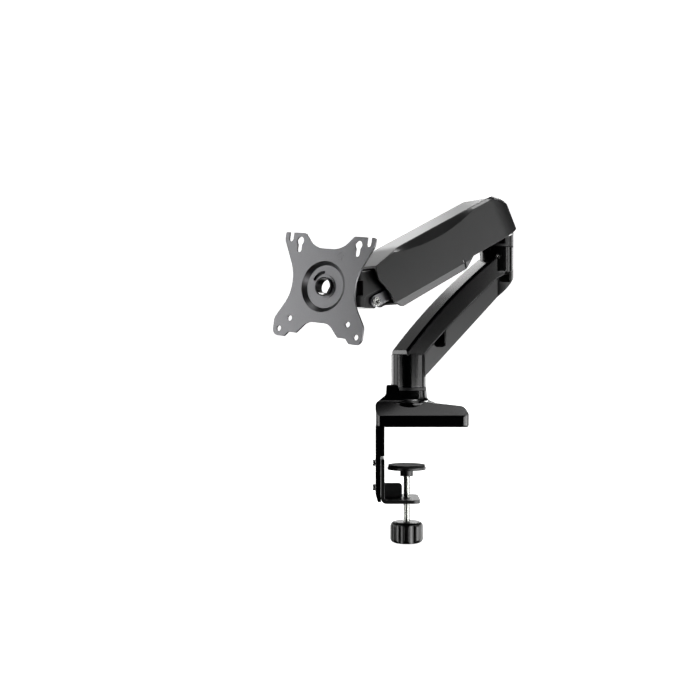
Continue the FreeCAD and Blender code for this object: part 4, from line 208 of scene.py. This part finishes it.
# %% [markdown]
# ## Metallic grey paint
# The monitor plate, the bracket behind it and the links are pressed steel in a grey paint with
# aluminium flake. Flake makes the paint part metal, part lacquer, so the shader's metallic value is
# a little under one.
# A soft mottle of half a millimetre stands for flakes that are far too fine to draw one by one.

# %% Metallic grey paint on pressed steel
grey_paint = new_finish(
    "metallic_grey_paint", Base_Color=linear("#8A8A8C"), Roughness=0.36, Metallic=0.93, IOR=1.5)
flakes = add_grain(grey_paint, size_mm=0.5, height_mm=0.01, edge_mm=0.5)
paint_tree = grey_paint.node_tree
mottle = add_node(paint_tree, "ShaderNodeValToRGB", {"Fac": flakes.outputs["Fac"]})
mottle.color_ramp.elements[0].color = linear("#828284")
mottle.color_ramp.elements[1].color = linear("#929294")
paint_tree.links.new(mottle.outputs["Color"], paint_tree.nodes["surface"].inputs["Base Color"])
print(grey_paint.name)

# %% [markdown]
# ## Satin black on the small castings
# The yoke, the knuckle, the head's block and the hub's sleeve are painted a satin black that is a
# touch lighter than the enamel.

# %% Satin black paint on castings
satin_black = new_finish(
    "satin_black_paint", Base_Color=linear("#1A1A1B"), Roughness=0.32, IOR=1.5)
add_grain(satin_black, size_mm=1.2, height_mm=0.02, edge_mm=0.8)
print(satin_black.name)

# %% [markdown]
# ## Zinc-plated steel
# Screws and pins are turned steel with a bright zinc plate: a true metal, so all of its colour is
# in its reflections, and a little blurred by the plating bath.

# %% Zinc-plated steel
zinc_steel = new_finish(
    "zinc_plated_steel", Base_Color=linear("#C8C9C6"), Roughness=0.22, Metallic=1.0)
add_grain(zinc_steel, size_mm=0.6, height_mm=0.006, edge_mm=0.3)
print(zinc_steel.name)

# %% [markdown]
# ## Rubber and nylon
# The pads that press on the desk are rubber, which scatters light so widely that it looks dull. The
# bushes, washers and spacers between moving parts are black nylon, smoother and a little waxy.

# %% Black rubber and black bearing nylon
rubber = new_finish("black_rubber", Base_Color=linear("#111111"), Roughness=0.8, IOR=1.52)
add_grain(rubber, size_mm=0.7, height_mm=0.03, edge_mm=0.5)
nylon = new_finish("black_nylon", Base_Color=linear("#151515"), Roughness=0.5, IOR=1.53)
add_grain(nylon, size_mm=1.5, height_mm=0.01, edge_mm=0.4)
print(rubber.name, nylon.name)

# %% [markdown]
# ## Who wears what
# Each part of the frame gets one finish. A list per finish reads like a paint shop's job card.

# %% Paint the frame's parts
PAINT_CARD = {
    black_enamel: ["base_casting", "lower_arm_shell"],
    powder_coat: ["lower_bracket", "pressure_plate", "upper_arm_channel", "tension_block",
                  "gas_spring_cylinder"],
    charcoal_abs: ["lower_arm_cable_cover", "upper_arm_side_cover_left", "upper_arm_side_cover_right"],
    satin_abs: ["upper_arm_top_cover"],
    black_abs: ["upper_arm_bottom_cover", "clamp_knob"],
    grey_paint: ["lower_link_left", "lower_link_right", "tilt_bracket", "vesa_plate",
                 "hub_retaining_ring"],
    satin_black: ["rear_yoke", "front_knuckle", "swivel_block", "hub_sleeve"],
    zinc_steel: ["bracket_screws", "clamp_screw", "pole_post", "swivel_stop_screw", "yoke_shaft",
                 "spring_yoke_pin", "rear_link_pins", "rear_arm_pin", "front_arm_pin", "tension_screw",
                 "spring_arm_pin", "gas_spring_rod", "front_link_pins", "swivel_pin", "tilt_bolt",
                 "tilt_nut"],
    rubber: ["base_pad", "pressure_pad"],
    nylon: ["base_washer", "lower_arm_bush", "upper_arm_bush", "yoke_washer", "rear_arm_spacers",
            "front_arm_spacers", "swivel_washers", "tilt_washers", "hub_friction_washer"],
}


def paint(piece, finish):
    """Every slot of the piece gets the finish."""
    if not piece.material_slots:
        piece.data.materials.append(finish)
    for slot in piece.material_slots:
        slot.material = finish


for finish, names in PAINT_CARD.items():
    for name in names:
        paint(frame["nodes"][name], finish)
painted = sum(len(names) for names in PAINT_CARD.values())
print(painted, "of", len(frame["nodes"]), "parts painted")

# %% [markdown]
# ## The clamp screw's thread
# The screw is an M8 stud with a rolled thread, 1.25 mm from turn to turn. The frame carries it as a
# plain rod. A thread is one tooth swept up a helix, and a spin that also lifts a little with each
# step does just that. The helix starts a turn too low and ends a turn or more too high, and its
# ends are then sliced flat and closed.

# %% Measure the screw in the frame
screw_low, screw_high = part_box("clamp_screw")
screw_radius = (screw_high[0] - screw_low[0]) / 2
screw_centre = ((screw_low[0] + screw_high[0]) / 2, (screw_low[1] + screw_high[1]) / 2, 0)
print("the screw is", round(2 * screw_radius / MM, 1), "mm thick")

# %% Spin the thread
THREAD_PITCH = 1.25 * MM
THREAD_DEPTH = 0.65 * MM
THREAD_STEPS = 28
SPARE_TURNS = 2
WELD = 0.001 * MM
CUT_SNAP = 0.0001 * MM
# One tooth from root to root: whether a corner is on the crest, and its share of the pitch.
TOOTH = [(False, 0.0), (True, 0.42), (True, 0.54), (False, 0.96), (False, 1.0)]


def slice_flat(bm, height, upper):
    """Cuts the screw level at that height and closes the cut."""
    cut = bmesh.ops.bisect_plane(
        bm, geom=bm.verts[:] + bm.edges[:] + bm.faces[:], plane_co=(0, 0, height),
        plane_no=(0, 0, 1), clear_outer=upper, clear_inner=not upper, dist=CUT_SNAP)
    rim = [item for item in cut["geom_cut"] if isinstance(item, bmesh.types.BMEdge)]
    bmesh.ops.holes_fill(bm, edges=rim)


def build_thread():
    """The threaded rod, cut to the length of the frame's plain one."""
    bm = bmesh.new()
    turns = math.ceil((screw_high[2] - screw_low[2]) / THREAD_PITCH) + SPARE_TURNS
    root_radius = screw_radius - THREAD_DEPTH
    verts = [bm.verts.new((screw_radius if crest else root_radius, 0, (share - 1) * THREAD_PITCH))
             for crest, share in TOOTH]
    edges = [bm.edges.new(pair) for pair in zip(verts, verts[1:])]
    bmesh.ops.spin(bm, geom=verts + edges, cent=(0, 0, 0), axis=(0, 0, 1), angle=2 * math.pi * turns,
                   dvec=(0, 0, THREAD_PITCH / THREAD_STEPS), steps=THREAD_STEPS * turns)
    bmesh.ops.remove_doubles(bm, verts=bm.verts[:], dist=WELD)
    bmesh.ops.translate(bm, verts=bm.verts[:], vec=(0, 0, screw_low[2]))
    slice_flat(bm, screw_high[2], upper=True)
    slice_flat(bm, screw_low[2], upper=False)
    bmesh.ops.translate(bm, verts=bm.verts[:], vec=screw_centre)
    bmesh.ops.recalc_face_normals(bm, faces=bm.faces[:])
    return bm


thread_shape = build_thread()
print(len(thread_shape.faces), "faces in the thread")

# %% [markdown]
# ## From shape to piece
# A bmesh is only a shape in memory. To be seen it becomes a smooth mesh in an object that wears a
# finish. A piece of the arm also needs sharp creases, and has to ride on one of the moving bodies.

# %% Make the thread a piece
CREASE = math.radians(40)


def show_shape(bm, name, finish):
    """Turns a bmesh into a named object with smooth shading and a finish."""
    mesh = bpy.data.meshes.new(name)
    bm.to_mesh(mesh)
    bm.free()
    mesh.shade_smooth()
    shown = bpy.data.objects.new(name, mesh)
    bpy.context.scene.collection.objects.link(shown)
    paint(shown, finish)
    return shown


def finish_piece(bm, name, finish, body):
    """Turns a bmesh into a piece of the arm that rides on a body."""
    piece = show_shape(bm, name, finish)
    piece.data.set_sharp_from_angle(angle=CREASE)
    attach(piece, body)
    return piece


thread = finish_piece(thread_shape, "clamp_screw_thread", zinc_steel, "clamp_spindle")
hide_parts("clamp_screw")
print(thread.name, "takes the place of the plain rod")

# %% [markdown]
# ## The arrow on the plate
# An arrow stamped in the plate's upper half shows the fitter which edge goes up. A stamp pushes a
# narrow rim of metal up along its outline, so the arrow is drawn as a thin raised rim: one face
# with seven corners, inset, and the band between the two outlines lifted. Stretched paint is duller
# and looks darker than the paint round it, so the rim has a darker finish of its own.

# %% Find the plate in the frame
plate_joint = next(joint for joint in frame["joints"] if joint["name"] == "plate_rotation")
lower_holes = next(mount for mount in frame["record"]["mounts"] if mount["name"] == "vesa_100_lower")
hub = Vector(plate_joint["pos_m"])
plate_out = Vector(plate_joint["axis"])
plate_up = (hub - Vector(lower_holes["pos_m"])).normalized()
plate_across = plate_up.cross(plate_out)
print("the plate faces", [round(value, 3) for value in plate_out])

# %% Stamp the arrow
ARROW_PLACE = (17 * MM, 33.5 * MM)
ARROW_RIM = 0.7 * MM
ARROW_RISE = 0.25 * MM
# The arrow's seven corners, in mm from its middle.
ARROW_OUTLINE = [(-1.6, -4.8), (1.6, -4.8), (1.6, 0.4), (4.5, 0.4), (0, 4.8), (-4.5, 0.4), (-1.6, 0.4)]


def build_arrow():
    """The raised rim, laid on the plate's face."""
    bm = bmesh.new()
    face = bm.faces.new([bm.verts.new((x * MM, y * MM, 0)) for x, y in ARROW_OUTLINE])
    rim = bmesh.ops.inset_individual(bm, faces=[face], thickness=ARROW_RIM)["faces"]
    bmesh.ops.delete(bm, geom=[face], context="FACES_ONLY")
    raised = bmesh.ops.extrude_face_region(bm, geom=rim)["geom"]
    top = [item for item in raised if isinstance(item, bmesh.types.BMVert)]
    bmesh.ops.translate(bm, verts=top, vec=(0, 0, ARROW_RISE))
    bmesh.ops.recalc_face_normals(bm, faces=bm.faces[:])
    bmesh.ops.translate(bm, verts=bm.verts[:], vec=(*ARROW_PLACE, 0))
    turn = Matrix((plate_across, plate_up, plate_out)).transposed().to_4x4()
    bmesh.ops.transform(bm, verts=bm.verts[:], matrix=Matrix.Translation(hub) @ turn)
    return bm


stamped_paint = new_finish(
    "stamped_grey_paint", Base_Color=linear("#5C5C5E"), Roughness=0.5, Metallic=0.9, IOR=1.5)
add_grain(stamped_paint, size_mm=0.5, height_mm=0.01, edge_mm=0.2)
arrow = finish_piece(build_arrow(), "up_arrow", stamped_paint, "vesa_plate")
print(len(arrow.data.polygons), "faces in the arrow")

# %% [markdown]
# ## Floor and backdrop
# A seamless studio sweep: a pale floor that curves up into a pale wall, so no horizon line shows.
# It starts as one edge profile that is extruded sideways. Black enamel mirrors whatever is round it,
# so a photographer keeps the room dark and lets only the lamps shine in the paint. The sweep does
# the same here: it is hidden from reflections, and glows by itself so that it stays white.

# %% Build the studio sweep
FLOOR_GAP = 2 * MM
FLOOR = cad_box[0][2] - FLOOR_GAP
SWEEP_WIDTH = 7.0
SWEEP_FRONT = -3.2
SWEEP_BACK = 2.4
SWEEP_ROUND = 0.9
SWEEP_STEPS = 16
SWEEP_TOP = 3.0

pale_paper = new_finish(
    "pale_paper", Base_Color=linear("#F6F6F5"), Roughness=0.9, Specular_IOR_Level=0.0,
    Emission_Color=linear("#FFFFFF"), Emission_Strength=1.0)


def build_sweep():
    """The floor and the wall in one curved sheet."""
    arc = [math.pi / 2 * step / SWEEP_STEPS for step in range(SWEEP_STEPS + 1)]
    profile = [(SWEEP_FRONT, FLOOR)] + [
        (SWEEP_BACK - SWEEP_ROUND + SWEEP_ROUND * math.sin(angle),
         FLOOR + SWEEP_ROUND - SWEEP_ROUND * math.cos(angle)) for angle in arc
    ] + [(SWEEP_BACK, SWEEP_TOP)]
    bm = bmesh.new()
    verts = [bm.verts.new((-SWEEP_WIDTH / 2, y, z)) for y, z in profile]
    edges = [bm.edges.new(pair) for pair in zip(verts, verts[1:])]
    grown = bmesh.ops.extrude_edge_only(bm, edges=edges)["geom"]
    moved = [item for item in grown if isinstance(item, bmesh.types.BMVert)]
    bmesh.ops.translate(bm, verts=moved, vec=(SWEEP_WIDTH, 0, 0))
    bmesh.ops.recalc_face_normals(bm, faces=bm.faces[:])
    sweep = show_shape(bm, "studio_sweep", pale_paper)
    sweep.visible_glossy = False
    sweep.visible_diffuse = False


build_sweep()
print("floor at", round(FLOOR, 4))

# %% [markdown]
# ## Light
# A black gloss object is lit by what it mirrors, so the lamps are soft panels whose shapes show as
# bands in the paint. A panel is placed by its bearing from the front, where positive is to the
# right, by its height angle and by its distance. It faces the arm, and the camera doesn't see it.

# %% A soft panel
LIT_SPOT = Vector((0.05, 0.0, 0.14))


def add_panel(name, bearing, height, distance, size, power):
    """A rectangular area light that faces the lit spot; angles in degrees, power in watts."""
    turn, rise = math.radians(bearing), math.radians(height)
    away = Vector((math.sin(turn) * math.cos(rise), -math.cos(turn) * math.cos(rise), math.sin(rise)))
    lamp = bpy.data.lights.new(name, "AREA")
    lamp.shape = "RECTANGLE"
    lamp.size, lamp.size_y = size
    lamp.energy = power
    panel = bpy.data.objects.new(name, lamp)
    panel.location = LIT_SPOT + away * distance
    panel.rotation_euler = (-away).to_track_quat("-Z", "Y").to_euler()
    panel.visible_camera = False
    bpy.context.scene.collection.objects.link(panel)


print("panels face", [round(value, 3) for value in LIT_SPOT])

# %% [markdown]
# ## Panels below and beside
# The plate faces a little to the left, so a low panel there lights it. The panels low on the right and
# beside the arm open up the grain of the covers.

# %% Hang the low panels
add_panel("left_low_panel", bearing=-60, height=-20, distance=1.5, size=(0.7, 0.7), power=8.0)
add_panel("front_low_panel", bearing=30, height=-20, distance=1.5, size=(0.7, 0.7), power=11.1)
add_panel("right_low_panel", bearing=60, height=-20, distance=1.5, size=(0.7, 0.7), power=18.8)
add_panel("side_low_panel", bearing=90, height=-20, distance=1.5, size=(0.7, 0.7), power=7.6)
add_panel("side_panel", bearing=87, height=2, distance=1.5, size=(0.3, 0.5), power=1.5)
print(len(bpy.data.lights), "panels")

# %% [markdown]
# ## Panels above and behind
# Top faces mirror what stands behind the arm and above it. These panels shine in the lid, in the
# beam and in the foot, each of which slopes its own way.

# %% Hang the high panels
add_panel("rear_high_panel", bearing=180, height=35, distance=1.5, size=(0.7, 0.7), power=0.8)
add_panel("side_high_panel", bearing=90, height=72, distance=1.4, size=(0.4, 0.4), power=7.5)
add_panel("front_high_panel", bearing=0, height=75, distance=1.4, size=(0.3, 0.3), power=0.4)
add_panel("rear_left_high_panel", bearing=-150, height=35, distance=1.5, size=(0.7, 0.7), power=0.5)
add_panel("overhead_panel", bearing=0, height=89, distance=1.3, size=(0.8, 0.8), power=1.9)
add_panel("rear_panel", bearing=170, height=25, distance=1.6, size=(0.4, 0.4), power=5.0)
add_panel("rear_left_panel", bearing=-170, height=25, distance=1.6, size=(0.4, 0.4), power=1.5)
print(len(bpy.data.lights), "panels")

# %% [markdown]
# ## Strips
# A round upright squeezes all that it mirrors into a narrow line, so a tall strip on each side draws
# a line of light down the sleeves and the collar.

# %% Stand the strips
add_panel("left_strip", bearing=-70, height=12, distance=1.4, size=(0.12, 1.1), power=2.1)
add_panel("right_strip", bearing=70, height=12, distance=1.4, size=(0.12, 1.1), power=2.2)
print(len(bpy.data.lights), "panels")

# %% [markdown]
# ## Fill for the back and the sides
# From behind or from the side, the panels so far leave black on black. Wide panels at about the
# arm's own height lift those faces, and from the front they hardly show.

# %% Hang the fills
add_panel("rear_right_fill", bearing=135, height=-5, distance=2.0, size=(1.2, 1.0), power=10.0)
add_panel("rear_left_fill", bearing=-135, height=-5, distance=2.0, size=(1.2, 1.0), power=12.0)
add_panel("rear_low_fill", bearing=180, height=-8, distance=2.0, size=(1.6, 1.0), power=14.0)
add_panel("left_fill", bearing=-95, height=5, distance=2.0, size=(1.0, 1.0), power=6.0)
add_panel("right_fill", bearing=95, height=25, distance=2.0, size=(1.0, 1.0), power=1.0)
print(len(bpy.data.lights), "panels")

# %% [markdown]
# ## World
# The world itself is a plain white that only the camera sees, so it lights nothing.

# %% White beyond the sweep
world = bpy.data.worlds.new("studio")
bpy.context.scene.world = world
world.use_nodes = True
world.node_tree.nodes["Background"].inputs["Color"].default_value = linear("#FFFFFF")
world.cycles_visibility.glossy = False
world.cycles_visibility.diffuse = False
print("world", world.name)

# %% [markdown]
# ## Camera
# The view is a product shot from the front, level with the middle of the arm, through a normal to
# short telephoto lens.

# %% Place the camera
CAMERA_PLACE = (-0.067, -1.330, 0.086)
LENS_LENGTH_MM = 59.76
SENSOR_WIDTH_MM = 36
lens = bpy.data.cameras.new("portrait")
lens.lens = LENS_LENGTH_MM
lens.sensor_width = SENSOR_WIDTH_MM
camera = bpy.data.objects.new("portrait", lens)
camera.location = CAMERA_PLACE
camera.rotation_euler = (math.radians(90), 0, 0)
bpy.context.scene.collection.objects.link(camera)
bpy.context.scene.camera = camera
bpy.context.scene.view_settings.view_transform = "Standard"
print("lens", lens.lens, "mm")
